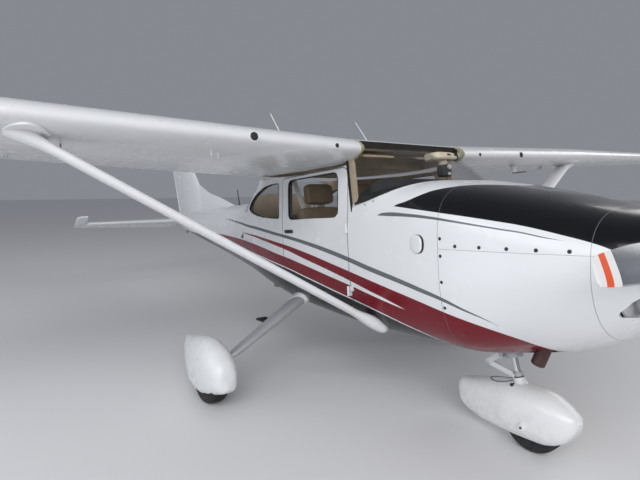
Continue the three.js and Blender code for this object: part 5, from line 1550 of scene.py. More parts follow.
def build_wings():
    """Both wings with their ailerons and flaps, cut out on the port side and mirrored."""
    inner, outer, at = AILERON
    start, end = wing_point(inner, at, 0), wing_point(outer, at, 0)
    radii = [float(half_thickness(at, WING_THICKNESS)) * wing_station(y)["chord"] for y in (inner, outer)]
    aileron_space = surface_space(start, end, *radii, 0)
    aileron_room = surface_space(start, end, *radii, RUNNING_GAP)
    flap_inner, flap_outer, flap_at, drop = FLAP

    def flap_space(gap):
        rings = []
        for y in (flap_inner - gap, flap_outer + gap):
            p = wing_point(y, flap_at, 0)
            rings.append(p + np.array([(gap, 0, 300), (-900, 0, 300), (-900, 0, -300), (gap, 0, -300)]))
        return loft(rings)

    wing = cut(whole_wing, aileron_room, flap_space(RUNNING_GAP))
    aileron = keep(whole_wing, aileron_space)
    flap = keep(whole_wing, flap_space(0))
    tracks = []
    slots = []
    for share in (0.15, 0.85):
        y = flap_inner + (flap_outer - flap_inner) * share
        middle = wing_point(y, flap_at, 0) - (0, 0, drop)
        half = np.array([0, TONGUE_WIDTH / 2, 0])
        plate = rod(middle - half, middle + half, FLAP_TRACK_RADIUS, sides=96)
        limits = box(middle[0] - 80, middle[0] + 200, 0, 3000, 0, 2000)
        tracks.append(keep(plate, limits, whole_wing))
        half = half + (0, RUNNING_GAP, 0)
        slots.append(rod(middle - half, middle + half, FLAP_TRACK_RADIUS + 1, sides=96))
    wing = join(wing, *tracks)
    flap = cut(flap, *slots)
    for obj, near, far, first, place in ((aileron, inner, outer, inner + 60, at),
                                         (flap, flap_inner, flap_outer, 700, flap_at)):
        ys = np.clip(np.abs(vectors(obj.data.vertices, "co")[:, 1]), near, far)
        hinge_x = np.array([wing_point(y, place, 0)[0] for y in ys])
        tail_x = np.array([wing_point(y, 0.985, 0)[0] for y in ys])
        press_ribs(obj, hinge_x, first, far - 50, 45, (hinge_x - tail_x).min() - 30, 3.2, 118)
    for side, name in NAMES.items():
        for label, shape in (("wing", wing), ("aileron", aileron), ("flap", flap)):
            node = label + "_" + name
            sided = shape if side > 0 else reflected(shape)
            body = "root" if shape is wing else node
            piece(label + "_skin_" + name, sided, body, WHITE_PAINT, [node])


build_wings()


# Struts

def stream_ring(centre, along, chord, thick):
    forward = unit(np.array([1.0, 0, 0]) - along * along[0])
    across = np.cross(along, forward)
    nose = centre + forward * chord / 2
    return blade_ring(nose, nose - forward * chord, thick, across)


def wing_plate(x, y, length, width, drop):
    """An oval on the wing's underside, a little below it."""
    rim = []
    for turn in turns(40):
        at_x, at_y = x + length * math.cos(turn), y + width * math.sin(turn)
        station = wing_station(at_y)
        rim.append(wing_point(at_y, (station["nose_x"] - at_x) / station["chord"], -1) - (0, 0, drop))
    return np.array(rim)


def build_strut(side):
    name = NAMES[side]
    low, high = np.array(STRUT_LOW, float), np.array(STRUT_HIGH, float)
    total = np.linalg.norm(high - low)
    along = (high - low) / total
    wide, deep = columns([
        (-90, 0.5, 0.6), (-60, 0.95, 1.3), (-20, 1.15, 1.7), (40, 1.18, 1.75), (120, 1.12, 1.5),
        (190, 1.04, 1.12), (250, 1, 1), (total - 190, 1, 1), (total - 130, 1.01, 1.08),
        (total - 70, 1.08, 1.4), (total - 25, 1.18, 1.75), (total + 50, 1.3, 2.2),
    ])
    foot = -90 + 60 * (1 - np.cos(np.linspace(0, math.pi / 2, 10)))
    places = np.concatenate([foot, np.linspace(-24, 260, 30), np.linspace(280, total - 270, 30),
                             np.linspace(total - 256, total + 50, 40)])
    rings = [stream_ring(low + along * at, along, STRUT_CHORD * wide(at), STRUT_THICK * deep(at))
             for at in places]
    flange = loft([wing_plate(-838, 2458, 135, 100, drop) for drop in (-10, 6, 12)])
    strut = join(loft(rings), flange)
    wing = WING_SHAPE
    if side < 0:
        strut = reflected(strut)
        wing = mirrored(wing)
    strut = cut(strut, hull_seated, *[shifted(wing, (0, 0, rise)) for rise in (-SEAT_GAP, 30, 60)])
    piece("strut_skin_" + name, strut, "root", WHITE_PAINT, ["wing_strut_" + name])
    ring = lathe([(9, -4), (15, -4), (15, 4), (9, 4)], (-1040, 2300 * side, 643), 1, 24)
    plain("tie_down_" + name, ring, STEEL)


for strut_side in NAMES:
    build_strut(strut_side)


# Tail

def build_fin_and_rudder():
    nose, tail, thick = columns(FIN_ROWS)
    heights = np.concatenate([np.linspace(250, 1540, 60), np.linspace(1560, 1620, 10)])
    whole = loft([blade_ring((nose(z), 0, z), (tail(z), 0, z), thick(z), (0, 1, 0)) for z in heights])
    foot = loft([blade_ring((TAIL_END_X, 0, z), (tail_x, 0, z), 92, (0, 1, 0))
                 for z, tail_x in ((112, -6660), (250, -6705))])
    room, space = [surface_space(RUDDER_LOW, RUDDER_HIGH, 42, 20, gap) for gap in (RUNNING_GAP, 0)]
    crest = smooth_curve([-5330, -4930, -4500, -3980], [800, 650, 548, 405])
    rings = []
    for x in np.linspace(-5330, -3985, 50):
        top = float(crest(x))
        share = (-3980 - x) / 1350
        root = 26 + 14 * share
        edge = 9 + 6 * share
        low = 300
        half = [(root, low), ((root + edge) / 2, (low + top) / 2), (edge, top - edge),
                (edge * 0.7, top - edge * 0.3)]
        rings.append(np.array([(x, y, z) for y, z in half + [(0, top)] + [(-y, z) for y, z in half[::-1]]]))
    dorsal = loft(rings)
    fin = cut(join(whole, dorsal), body_seated, room)
    piece("fin_skin", fin, "root", WHITE_PAINT, ["fin"])
    rudder = keep(join(whole, foot), space)
    axis = np.array(RUDDER_HIGH, float) - RUDDER_LOW

    def swing(points):
        return turned(points, np.array(RUDDER_LOW, float), axis, -RUDDER_TURN)

    piece("rudder_skin", rudder, "rudder", WHITE_PAINT, ["rudder"], bend=swing)


def stabiliser_station(y):
    """The nose, tail and thickness of a stabiliser and its elevator together."""
    share = y / (STAB_TIP - STAB_ROUND)
    return (-5440 - 260 * share, -6480 + 230 * share, STAB_THICK * (1 - 0.38 * share))


def stabiliser_solid():
    rings = []
    for y in np.linspace(0, STAB_TIP - STAB_ROUND, 66):
        nose, tail, thick = stabiliser_station(y)
        rings.append(blade_ring((nose, y, STAB_Z), (tail, y, STAB_Z), thick, (0, 0, 1)))
    nose, tail, thick = stabiliser_station(STAB_TIP - STAB_ROUND)
    for turn in np.linspace(0, math.pi / 2, 12)[1:]:
        y = STAB_TIP - STAB_ROUND + STAB_ROUND * math.sin(turn)
        draw = 1 - math.cos(turn)
        rings.append(blade_ring((nose - 70 * draw, y, STAB_Z), (tail + 30 * draw, y, STAB_Z),
                                thick * (1 - 0.8 * draw), (0, 0, 1)))
    return loft(rings)


def build_stabilisers():
    """Both stabilisers and elevator halves, drawn to port and mirrored."""
    whole = work(stabiliser_solid())

    def space(gap):
        horn = box(-7000, -5000, HORN_Y - gap, STAB_TIP + 60, STAB_Z - 200, STAB_Z + 200)
        radii = (STAB_THICK * 0.36, STAB_THICK * 0.21)
        ends = [(STAB_HINGE, y, STAB_Z) for y in (130, STAB_TIP + 40)]
        return join(surface_space(*ends, *radii, gap), horn)

    front = STAB_HINGE + 200
    corners = [(front, 0), (front, 132), (STAB_HINGE, 132), (-6540, 225), (-6540, 0)]
    inner = prism(corners, 2, STAB_Z - 200, STAB_Z + 200)
    root_cut = box(-7000, STAB_HINGE + 30, -1, 140, STAB_Z - 200, STAB_Z + 200)
    fixed = cut(whole, space(RUNNING_GAP), hull_seated, root_cut)
    moving = cut(keep(whole, space(0)), inner)
    press_ribs(moving, STAB_HINGE - 40, 190, HORN_Y - 40, 20, 250, 2.6, 120)

    def droop(points):
        return turned(points, np.array([STAB_HINGE, 0, STAB_Z], float), (0, 1, 0), -ELEVATOR_DROOP)

    for side, name in NAMES.items():
        for label, shape, body, turn in (("stabiliser", fixed, "root", None),
                                         ("elevator", moving, "elevator", droop)):
            nodes = [label + "_" + name]
            sided_piece(side, label + "_skin_", shape, body, WHITE_PAINT, nodes, turn)


build_fin_and_rudder()
build_stabilisers()


# Landing gear

def pebble(rows, centre):
    """A wheel fairing's body, rounder above than below, with rounded ends."""
    steps = 64
    half, top, bottom = columns(rows)
    xs = sorted(row[0] for row in rows)
    middle = (xs[0] + xs[-1]) / 2
    reach = (xs[-1] - xs[0]) / 2
    rings = []
    angles = turns(steps)
    square = np.where(np.sin(angles) < 0, 3.5, 2.3)
    across = np.sign(np.cos(angles)) * np.abs(np.cos(angles)) ** (2 / square)
    over = np.sign(np.sin(angles)) * np.abs(np.sin(angles)) ** (2 / square)
    for turn in np.linspace(-math.pi / 2, math.pi / 2, 60):
        x = middle + reach * math.sin(turn)
        high, low = float(top(x)), float(bottom(x))
        heights = (high + low) / 2 + (high - low) / 2 * over
        rings.append(np.stack([np.full(steps, x), float(half(x)) * across, heights], axis=1) + centre)
    first, last = [ring.mean(axis=0) + (ring - ring.mean(axis=0)) * 0.55 + (way * 5, 0, 0)
                   for ring, way in ((rings[0], -1), (rings[-1], 1))]
    return loft([first] + rings + [last])


def wheel_well(centre, wheel):
    radius, width, _ = wheel
    half = width / 2
    clear = radius + 14
    x, y, z = centre
    tread = rod((x, y - half * 0.65, z), (x, y + half * 0.65, z), clear, sides=64)
    walls = [rod((x, y + way * (half + 12), z), (x, y + way * half * 0.65, z), radius * 0.74, clear, 64)
             for way in (-1, 1)]
    low = half + 6
    return join(tread, walls[0], walls[1], box(x - clear, x + clear, y - low, y + low, z - 500, z))


def tyre_profile(wheel, grooves):
    """A tyre's section, closed on itself, with round shoulders and straight grooves in the tread."""
    radius, width, rim = wheel
    radius *= FLAT_OF_TWENTY
    half = width / 2
    outer = [(rim, -0.55), (rim + 5, -0.68), (rim + 14, -0.76), (radius * 0.70, -0.98), (radius * 0.78, -1.0),
             (radius * 0.88, -0.92), (radius * 0.94, -0.80), (radius * 0.975, -0.64), (radius * 0.993, -0.44)]
    tread = [(radius * share, place + offset) for place in grooves for share, offset in
             ((0.998, -0.05), (0.972, -0.03), (0.972, 0.03), (0.998, 0.05))]
    far = [(r, -s) for r, s in outer[::-1]]
    inside = [(rim - 3, 0.5), (rim - 3, -0.5)]
    return [(r, s * half) for r, s in outer + tread + far + inside]


def build_wheel(label, centre, wheel, body, tyre_node, rim_node):
    _, width, rim = wheel
    half = width / 2
    tyre = lathe(tyre_profile(wheel, (-0.33, -0.11, 0.11, 0.33)), centre, 1, 96)
    piece(label + "_tyre_rubber", tyre, body, TYRE, [tyre_node])
    section = [(19.6, -0.62), (rim * 0.42, -0.62), (rim * 0.5, -0.56), (rim * 0.62, -0.26),
               (rim * 0.85, -0.30), (rim - 6, -0.46), (rim - 3, -0.60), (rim + 4, -0.66), (rim + 4, -0.60),
               (rim - 1, -0.50)]
    profile = [(r, s * half) for r, s in section] + [(r, -s * half) for r, s in section[::-1]]
    parts = [lathe(profile, centre, 1, 64)]
    for i in range(8):
        angle = i / 8 * 2 * math.pi
        for way in (-1, 1):
            offset = (math.cos(angle) * rim * 0.74, way * 0.27 * half, math.sin(angle) * rim * 0.74)
            parts.append(dome(centre + np.array(offset), (0, way, 0), 6, 7, 6, 1))
    piece(label + "_rim_metal", merged(*parts), body, ALUMINIUM, [rim_node])


def build_main_leg(side):
    name = NAMES[side]
    along = LEG_KNEE - LEG_TOP
    length = np.linalg.norm(along)
    along = along / length
    chord, thick = columns([(-10, 222, 84), (140, 206, 76), (length * 0.55, 168, 64), (length - 110, 120, 50),
                            (length - 50, 97, 45), (length + 30, 92, 44)])
    places = np.linspace(0, length + 30, 40)
    leg = loft([stream_ring(LEG_TOP + along * at, along, chord(at), thick(at)) for at in places])
    hub = MAIN_HUB
    axle = rod(hub + (0, -150, 0), hub + (0, 62, 0), 19, sides=32)
    flange = lathe([(19, -132), (48, -132), (52, -128), (52, -96), (19, -96)], hub, 1, 48)
    leg = cut(join(leg, axle, flange), hull_seated)
    sided_piece(side, "leg_metal_", leg, "root", SILVER, ["main_leg_" + name])
    tread = prism(frame_outline(-1850, -1640, 728, 830, 22), 2, -661, -649)
    grips = [box(x, x + 5, 738, 820, -650, -646) for x in range(-1838, -1650, 13)]
    bracket = prism([(-1690, -655), (-1600, -655), (-1600, -622), (-1640, -622)], 1, 770, 800)
    sided_piece(side, "step_", merged(tread, bracket, *grips), "root", DARK)
    boot = []
    for at in np.linspace(-30, 130, 16):
        flare = (1 - (at + 30) / 160) ** 2
        sizes = (chord(at) + 16 + 90 * flare, thick(at) + 14 + 70 * flare)
        boot.append(stream_ring(LEG_TOP + along * at, along, *sizes))
    sided_piece(side, "leg_boot_", cut(loft(boot), hull_seated), "root", RESIN)
    shell = cut(pebble(MAIN_FAIRING, MAIN_HUB), wheel_well(MAIN_HUB, MAIN_WHEEL),
                rod(hub - (0, 240, 0), hub - (0, 90, 0), 52.3, sides=48),
                box(hub[0] - 51, hub[0] + 51, hub[1] - 240, hub[1] - 90, hub[2], hub[2] + 98))
    sided_piece(side, "main_fairing_skin_", shell, "root", RESIN, ["main_fairing_" + name])
    drain = dome((-1531, 1505, -918), (0, 1, 0), 8, 3, 16)
    screws = [dome(hub + (dx, way * (119 - 0.0011 * dx * dx), dz), (0, way, 0), 5, 2, 8) for dx, dz in
              ((-140, 60), (-80, 130), (60, 130), (110, 60)) for way in (-1, 1)]
    sided_piece(side, "fairing_screws_", merged(drain, *screws), "root", DARK)
    centre = hub * (1, side, 1)
    body, tyre, rim = ["main_" + part + "_" + name for part in ("wheel", "tyre", "rim")]
    build_wheel("main_" + name, centre, MAIN_WHEEL, body, tyre, rim)


def steer(at):
    return STEER_TOP + STEER_WAY * at


def build_nose_gear():
    cylinder = cut(tube([steer(-170), steer(-100), steer(-96), steer(140), steer(144), steer(150)],
                        [42, 42, 40, 40, 42, 42], 40), rod(steer(20), steer(200), 23, sides=32))
    foot = box(0.4, 60, -80, 80, -560, -430)
    cylinder = merged(shape_of(cylinder), foot)
    piece("nose_cylinder_metal", cylinder, "root", SILVER, ["nose_cylinder"])
    piston = tube([steer(40), steer(248)], 22, 32)
    piece("nose_piston", piston, "nose_steering", CHROME)
    collar = tube([steer(246), steer(250), steer(276), steer(280)], [25, 29, 29, 25], 32)
    profile = [(42.6, 128), (53, 128), (54, 133), (54, 153), (53, 158), (42.6, 158)]
    ring = lathe_about(STEER_WAY, steer(0), profile, 40)
    lugs = [box(8, 40, -40, -26, -724, -694), box(8, 40, 26, 40, -724, -694)]
    piece("nose_collars", merged(collar, ring, *lugs), "nose_steering", SILVER)
    upper = [(41, -684), (-8, -704), (-104, -778), (-104, -800), (-84, -804), (6, -736), (41, -720)]
    lower = [(-106, -780), (-98, -804), (104, -852), (108, -820), (-76, -774)]
    links = [prism(eased(corners, 8, 4), 1, *ends)
             for corners, ends in ((upper, (-24, -10)), (upper, (10, 24)), (lower, (-9, 9)))]
    pins = ((30, -701), (-90, -792), (96, -832))
    bolts = [rod((x, -26, z), (x, 26, z), 7, sides=16) for x, z in pins]
    nuts = [rod((x, y, z), (x, y + 7, z), 12, sides=6) for x, z in pins for y in (-24, 17)]
    piece("nose_links", merged(*links, *bolts, *nuts), "nose_steering", WHITE_PAINT)
    cone = tube([steer(at) for at in (281, 284, 300, 318, 332, 340)], [28, 33, 37, 46, 60, 66], 40)
    plain("nose_boot", cone, RESIN, "nose_steering")
    washer = tube([steer(277), steer(283)], 31, 32)
    bolt = [rod((112, start, -872), (112, end, -872), radius, sides=sides)
            for start, end, radius, sides in ((-66, -40, 7, 16), (-72, -62, 11, 6))]
    plain("nose_boot_fittings", merged(washer, *bolt), DARK, "nose_steering")
    x, _, z = NOSE_HUB
    half_arch = [(105, -35), (105, 120), (100, 145), (66, 190), (52, 202), (40, 207)]
    inner = [(84, -36), (84, 135), (50, 188)]

    def arch_prism(rows, x0, x1):
        port = [(y, z + up) for y, up in rows]
        return prism(port + [(-y, up) for y, up in port[::-1]], 0, x0, x1)

    arch = cut(arch_prism(half_arch, x - 45, x + 30), arch_prism(inner, x - 46, x + 31))
    axle = rod((x, -135, z), (x, 135, z), 19, sides=32)
    nuts = [rod((x, 130 * s, z), (x, 139 * s, z), 22, sides=6) for s in (1, -1)]
    fork = merged(shape_of(arch), axle, *nuts)
    piece("nose_fork_metal", fork, "nose_steering", SILVER, ["nose_fork"])
    fork_space = arch_prism([(107, -37), (107, 130), (68, 192), (42, 209)], x - 47, x + 32)
    shell = cut(pebble(NOSE_FAIRING, NOSE_HUB), wheel_well(NOSE_HUB, NOSE_WHEEL), fork_space,
                rod((x, -136, z), (x, 136, z), 20, sides=32), rod(steer(248), steer(336), 25, sides=32))
    piece("nose_fairing_skin", shell, "nose_steering", RESIN, ["nose_fairing"])
    build_wheel("nose", NOSE_HUB, NOSE_WHEEL, "nose_wheel", "nose_tyre", "nose_rim")
    slot = []
    half, top, bottom = columns(NOSE_FAIRING)
    for turn in np.linspace(0, 2 * math.pi, 41):
        at, y = x - 200 + 85 * math.cos(turn), 50 * math.sin(turn)
        high, low = float(top(at - x)), float(bottom(at - x))
        over = (1 - abs(y / float(half(at - x))) ** 2.3) ** (1 / 2.3)
        slot.append((at, y, z + (high + low) / 2 + (high - low) / 2 * over))
    plain("nose_fairing_details", tube(slot, 3.5, 8), DARK, "nose_steering")

    def axle_ends(profile, sides):
        return merged(*[lathe([(r, side * y) for r, y in profile], (x, 0, z), 1, sides) for side in NAMES])

    plugs = axle_ends([(0.5, 122), (24, 122), (25, 137), (22, 141), (0.5, 142)], 32)
    plain("nose_axle_plugs", plugs, RESIN, "nose_steering")
    caps = axle_ends([(0.5, 120), (8, 120), (8, 143), (5, 146), (0.5, 146)], 24)
    plain("nose_axle_caps", caps, DARK, "nose_steering")


for leg_side in NAMES:
    build_main_leg(leg_side)
build_nose_gear()


# Cabin

def build_seat(side):
    name = NAMES[side]
    y = 265 * side
    pads = [pillow(corners, 1, y - half, y + half, *softness) for corners, half, softness in (
        ([(-1010, -250), (-1000, -120), (-1480, -160), (-1500, -300)], 225, (45, 30)),
        ([(-1430, -270), (-1560, 300), (-1660, 290), (-1560, -290)], 215, (40, 34)),
        ([(-1555, 325), (-1580, 505), (-1668, 495), (-1650, 315)], 135, (40, 30)))]
    pad = piece("seat_pads_" + name, merged(*pads), "root", LEATHER, ["front_seat_" + name],
                sharp=60)
    posts = [rod((-1612, y + dy, 250), (-1622, y + dy, 345), 6, sides=12) for dy in (-45, 45)]
    rails = [box(-1490, -1050, y + dy - 14, y + dy + 14, -468, -440) for dy in (-150, 150)]
    legs = [tube([(x0, y + dy, -442), (x1, y + dy, -270)], 11, 12) for dy in (-150, 150)
            for x0, x1 in ((-1100, -1070), (-1440, -1430))]
    plain("seat_frame_" + name, merged(*posts, *rails, *legs), STEEL)
    piping = [tube([(x, y + dy, z) for x, z in ((-1050, -119), (-1200, -130), (-1440, -151))], 4, 8)
              for dy in (-150, 150)]
    plain("seat_piping_" + name, merged(*piping), TRIM)


def build_bench():
    cushion = pillow([(-1900, -280), (-1890, -150), (-2300, -180), (-2330, -300)], 1, -440, 440, 45, 30)
    back = pillow([(-2270, -280), (-2400, 260), (-2490, 250), (-2390, -290)], 1, -425, 425, 40, 34)
    pad = piece("bench_pads", merged(cushion, back), "root", LEATHER, ["rear_bench"], sharp=60)
    base = prism(frame_outline(-2330, -1960, -380, 380, 30), 2, -469, -262)
    piece("bench_base", base, "root", CARPET)


def build_panel():
    face = [(-560, -60), (-560, 270), (-500, 330), (-300, 345), (-200, 330),
            (-200, 250), (-480, 230), (-480, -60)]
    panel = keep(prism(face, 1, -600, 600), cabin_lining)
    piece("panel_board", panel, "root", DARK, ["instrument_panel"])
    hood = eased([(-655, 335), (-650, 425), (-500, 442), (-350, 428), (-215, 395), (-215, 335)], 34, 6)
    plain("glareshield", keep(prism(hood, 1, -600, 600), cabin_lining), DARK)
    apron = cut(keep(body_solid(-3), band_solid(8), box(-760, -150, -600, 600, 150, 600)), body_outer)
    plain("windshield_apron", apron, DARK)
    rings = []
    faces = []
    needles = []
    for row, z in enumerate((180, 80)):
        for i in range(9):
            y = -430 + i * 105
            radius = 40 if abs(i - 7) < 2 or row == 0 else 30
            rim = [(radius - 5, -564), (radius, -564), (radius, -572), (radius - 5, -570)]
            rings.append(lathe(rim, (0, y, z), 0, 28))
            face = [(0.5, -561), (radius - 4, -561), (radius - 4, -564), (0.5, -564)]
            faces.append(lathe(face, (0, y, z), 0, 28))
            angle = 0.7 * i + row
            tip = (-567, y + 0.7 * radius * math.cos(angle), z + 0.7 * radius * math.sin(angle))
            needles.append(tube([(-567, y, z), tip], [2.4, 0.8], 6))
    plain("dial_rims", merged(*rings), STEEL)
    piece("dial_faces", merged(*faces), "root", BLADE_BACK)
    piece("dial_needles", merged(*needles), "root", SIGNAL_WHITE)
    yokes = []
    for y in (-265, 265):
        yokes.append(tube([(-560, y, 20), (-720, y, 24)], 11, 16))
        horn = [(-724, y - 150, 90), (-730, y - 150, 30), (-732, y - 90, 0), (-732, y, 0), (-732, y + 90, 0),
                (-730, y + 150, 30), (-724, y + 150, 90)]
        yokes.append(tube(horn, 12, 14))
    plain("yokes", merged(*yokes), DARK)


def build_fittings():
    """The compass on its post, the overhead console, visors and belts."""
    compass = pillow([(-600, 466), (-600, 556), (-524, 556), (-524, 466)], 1, 126, 214, 18, 12)
    plain("compass", compass, DARK)
    knob = merged(lathe([(0.5, -524), (17, -524), (17, -512), (0.5, -510)], (0, 176, 538), 0, 24),
                  lathe([(0.5, -524), (11, -524), (11, -514), (0.5, -513)], (0, 176, 488), 0, 20))
    piece("compass_knobs", knob, "root", SIGNAL_WHITE)
    post = tube([(-570, 172, 552), (-585, 176, 600)], [28, 44], 24)
    pod = pillow([(-700, 585), (-705, 655), (-560, 658), (-515, 615), (-545, 582)], 1, 80, 305, 36, 40)
    piece("overhead_console", merged(pod, post), "root", PALE_TRIM)
    rim = [(8, -14), (24, -14), (28, 0), (24, 10), (8, 6)]
    vents = [lathe_about((1, 0, -0.2), (-538, y, 612), rim, 28) for y in (190, 268)]
    plain("overhead_vents", merged(*vents), DARK)
    corners = [(-760, 618), (-752, 634), (-900, 672), (-906, 656)]
    visors = [pillow(corners, 1, *side_span(side, 140, 440), 8, 10) for side in NAMES]
    plain("sun_visors", merged(*visors), TRIM)
    strap = np.array([(0, -24, -4), (0, 24, -4), (0, 24, -1), (0, -24, -1)], float)
    path = ((-1650, 500, 560), (-1600, 440, 300), (-1480, 330, -60))
    belts = [loft([strap + (x, side * y, z) for x, y, z in path]) for side in NAMES]
    piece("shoulder_belts", merged(*belts), "root", SIGNAL_WHITE)


for seat_side in NAMES:
    build_seat(seat_side)
build_bench()
build_panel()
build_fittings()
for node_name, node_material in (("cabin_floor", CARPET), ("baggage_bulkhead", TRIM), ("engine_block", IRON),
                                 ("elevator_torque_tube", STEEL)):
    dress_node(node_name, node_material)


# Small things on the skin

def skin_point(x, z, side, lift=0.0):
    """The place on the hull's side at a station and height, and the outward direction there."""
    probe = np.array([[x, side * y, z] for y in np.linspace(40, 620, 1161)], float)
    outside = hull_distance(probe) > 0
    y = probe[np.argmax(outside), 1]
    point = np.array([x, y, z], float)
    normal = hull_normals(point[None])[0]
    return point + normal * lift, normal


def build_cowl_fasteners():
    rows = [(16, z) for z in (56, -42, -190, -340)]
    rows += [(114, 15), (254, 11), (397, 7), (537, 3), (678, 0)]
    heads = [dome(*skin_point(x, z, side), 10, 2.2, 16) for side in NAMES for x, z in rows]
    plain("cowl_fasteners", merged(*heads), DARK)


def build_scoop():
    """A raised oval louvre on the starboard side, open forward."""
    turn = turns(48)

    def oval(x, width, height, lift, share=1.0):
        across = x + np.sign(np.cos(turn)) * np.abs(np.cos(turn)) ** 0.8 * width * share
        over = 22 + np.sign(np.sin(turn)) * np.abs(np.sin(turn)) ** 0.8 * height * share
        return np.array([skin_point(a, o, -1, lift * (0.3 + 0.7 * (a - x + width) / (2 * width)))[0]
                         for a, o in zip(across, over)])

    cover = [oval(-160, 48, 55, *level) for level in ((-3, 1.0), (7, 0.98), (12, 0.9), (14, 0.5), (14, 0.05))]
    mouth = [oval(-150, 50, 56, *level) for level in ((-3, 1.0), (4, 1.0), (4, 0.9), (5, 0.05))]
    piece("air_scoop", loft(cover), "root", WHITE_PAINT)
    plain("air_scoop_mouth", loft(mouth), DARK)


def rivets(name, places, material):
    heads = [dome(place, normal, 3.0, 1.2, 6, 1) for place, normal in places]
    piece(name, merged(*heads), "root", material)


def build_rivets():
    places = []
    for x in (-2300, -2740, -3150, -3880, -4500, -5080, -5700):
        ring = body_ring(x, 0, 16 if x > -4600 else 10)
        outside = band_level(ring) > -1
        places += zip(ring[outside], hull_normals(ring)[outside])
    rivets("body_rivets", places, PAINT)
    spots = [(y, f) for y in np.arange(640, 5250, 330) for f in np.arange(0.06, 0.70, 0.022)]
    spots += [(y, f) for f in (0.12, 0.25, 0.68) for y in np.arange(600, 5250, 42)]
    rows = [(wing_point(y, f, up), (0, 0, up)) for y, f in spots for up in (1, -1)]
    for side, name in NAMES.items():
        rivets("wing_rivets_" + name, [(p * (1, side, 1), way) for p, way in rows], WHITE_PAINT)


def build_wing_fittings():
    """Vents, the pitot mast, inlets, filler caps and lamps on the wings."""
    dark = []
    white = []
    steel = []
    for side in NAMES:
        for y, z, radius in ((745, 671, 15), (1343, 693, 25)):
            p = wing_point(y, 0.0005, 0)
            place = np.array([p[0] + 1, side * y, z])
            dark.append(dome(place, (1, 0, 0), radius, 4, 24))
            white.append(dome(place - (4, 0, 0), (1, 0, 0), radius + 6, 5, 24))
        p = wing_point(1100, 0.36, 1)
        steel.append(dome(p * (1, side, 1), (0, 0, 1), 52, 4, 32))
        dark.append(dome((p + (0, 0, 3)) * (1, side, 1), (0, 0, 1), 18, 4, 16))
        for y, x in ((1541, -842), (1484, -878)):
            p = wing_point(y, (WING_NOSE_X - x) / ROOT_CHORD, -1)
            white.append(rod((p + (0, 0, 6)) * (1, side, 1), (p - (0, 0, 40)) * (1, side, 1), 7, 5, 12))
    p = wing_point(1521, 0.13, -1)
    white.append(loft([np.array([p + (dx + lean, dy, -drop) for dx, dy in
                                 ((28, 0), (14, 6), (-22, 4), (-30, 0), (-22, -4), (14, -6))])
                       for lean, drop in ((0, -8), (18, 60), (24, 84))]))
    steel.append(tube([p + (10, 0, -78), p + (150, 0, -80)], [8, 6], 14))
    vent = wing_point(2598, 0.36, -1)
    white.append(tube([vent + (0, 0, 8), vent + (8, 0, -40), vent + (26, 0, -52)], [8, 8, 7], 14))
    plain("wing_openings", merged(*dark), DARK)
    plain("wing_vents", merged(*white), WHITE_PAINT)
    plain("wing_caps_and_pitot", merged(*steel), STEEL)
    for side, lens_material, name in ((1, RED_LENS, "left"), (-1, GREEN_LENS, "right")):
        y = SEMI_SPAN - 26
        x, z = -900, WING_NOSE_Z + (TIP_RIB_Y - ROOT_Y) * DIHEDRAL - 14
        corners = [(x - 70, z - 16), (x + 30, z - 14), (x + 44, z), (x + 30, z + 14), (x - 70, z + 14)]
        glass = pillow(corners, 1, *side_span(side, y - 30, y + 22), 12, 10)
        piece("tip_lamp_" + name, glass, "root", lens_material)


def build_belly_details():
    """The beacon on the fin, and the aerial and drain under the belly."""
    profile = [(0.5, 1610), (34, 1610), (36, 1622), (30, 1650), (14, 1668), (0.5, 1670)]
    beacon = lathe(profile, (-6700, 0, 0), 2, 32)
    piece("fin_beacon", beacon, "root", RED_LENS)
    bottom = float(BODY[2](-1500))
    outline = ((40, 0), (10, 7), (-50, 5), (-60, 0), (-50, -5), (10, -7))
    fin = loft([np.array([(-1500 + dx * share, dy * share, bottom + 4 - drop) for dx, dy in outline])
                for drop, share in ((0, 1), (70, 0.7))])
    piece("belly_aerial", fin, "root", WHITE_PAINT)
    bottom = float(BODY[2](-150))
    drain = rod((-150, -120, bottom + 10), (-150, -120, bottom - 22), 7, 6, 12)
    plain("belly_drain", drain, STEEL)


build_cowl_fasteners()
build_scoop()
build_rivets()
build_wing_fittings()
build_belly_details()

for obj in WORK:
    bpy.data.objects.remove(obj)


# Floor, light and camera

def build_floor():
    mesh = bpy.data.meshes.new("floor")
    size = 60
    corners = [(-size, -size, 0), (size, -size, 0), (size, size, 0), (-size, size, 0)]
    mesh.from_pydata(corners, [], [(0, 1, 2, 3)])
    graph = Graph("floor")
    graph.set(Base_Color=(0.78, 0.78, 0.78, 1), Roughness=0.8)
    mesh.materials.append(graph.material)
    floor = added("floor", mesh)


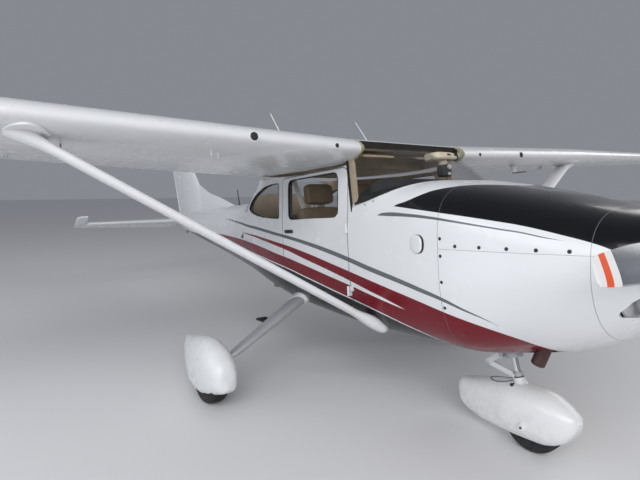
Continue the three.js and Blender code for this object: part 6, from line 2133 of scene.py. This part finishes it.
def area_light(name, place, target, size, power, colour):
    data = bpy.data.lights.new(name, "AREA")
    data.shape = "RECTANGLE"
    data.size, data.size_y = size
    data.energy = power
    data.color = colour
    obj = added(name, data)
    obj.location = place
    obj.rotation_euler = (Vector(target) - Vector(place)).to_track_quat("-Z", "Y").to_euler()


def build_light():
    world = bpy.data.worlds.new("studio")
    world.use_nodes = True
    background = world.node_tree.nodes["Background"]
    background.inputs[0].default_value = (0.86, 0.90, 1.0, 1)
    background.inputs[1].default_value = 0.28
    bpy.context.scene.world = world
    middle = (SHIFT - 1.0, 0, 1.2)
    area_light("door_light", (SHIFT + 7, -6, 6.5), middle, (9, 6), 760, (0.98, 0.98, 1.0))
    area_light("side_light", (SHIFT - 1, -10, 4.5), middle, (10, 4), 300, (0.92, 0.96, 1.0))
    area_light("port_light", (SHIFT + 1, 11, 7), middle, (9, 5), 300, (1.0, 0.98, 0.95))
    bpy.context.scene.view_settings.view_transform = "Standard"


CAMERA_FROM_FIREWALL = (1.7302826, -2.554705, 1.5892135)
CAMERA_YAW = 2.5416093356
CAMERA_DOWN = 0.1158734816
CAMERA_ROLL = 0.0012310006
FOCAL_PIXELS = 456.4976
PHOTO_WIDTH = 640
SENSOR_WIDTH = 36


def build_camera():
    data = bpy.data.cameras.new("camera")
    data.sensor_fit = "HORIZONTAL"
    data.sensor_width = SENSOR_WIDTH
    data.lens = SENSOR_WIDTH * FOCAL_PIXELS / PHOTO_WIDTH
    data.clip_start = 0.05
    data.clip_end = 200
    level = math.cos(CAMERA_DOWN)
    forward = Vector((math.cos(CAMERA_YAW) * level, math.sin(CAMERA_YAW) * level, -math.sin(CAMERA_DOWN)))
    right = forward.cross(Vector((0, 0, 1))).normalized()
    up = right.cross(forward)
    rolled = right * math.cos(CAMERA_ROLL) + up * math.sin(CAMERA_ROLL)
    over = rolled.cross(forward)
    turn = Matrix((rolled, over, -forward)).transposed().to_4x4()
    x, y, z = CAMERA_FROM_FIREWALL
    camera = added("camera", data)
    camera.matrix_world = Matrix.Translation((x + SHIFT, y, z)) @ turn
    bpy.context.scene.camera = camera


build_floor()
build_light()
build_camera()
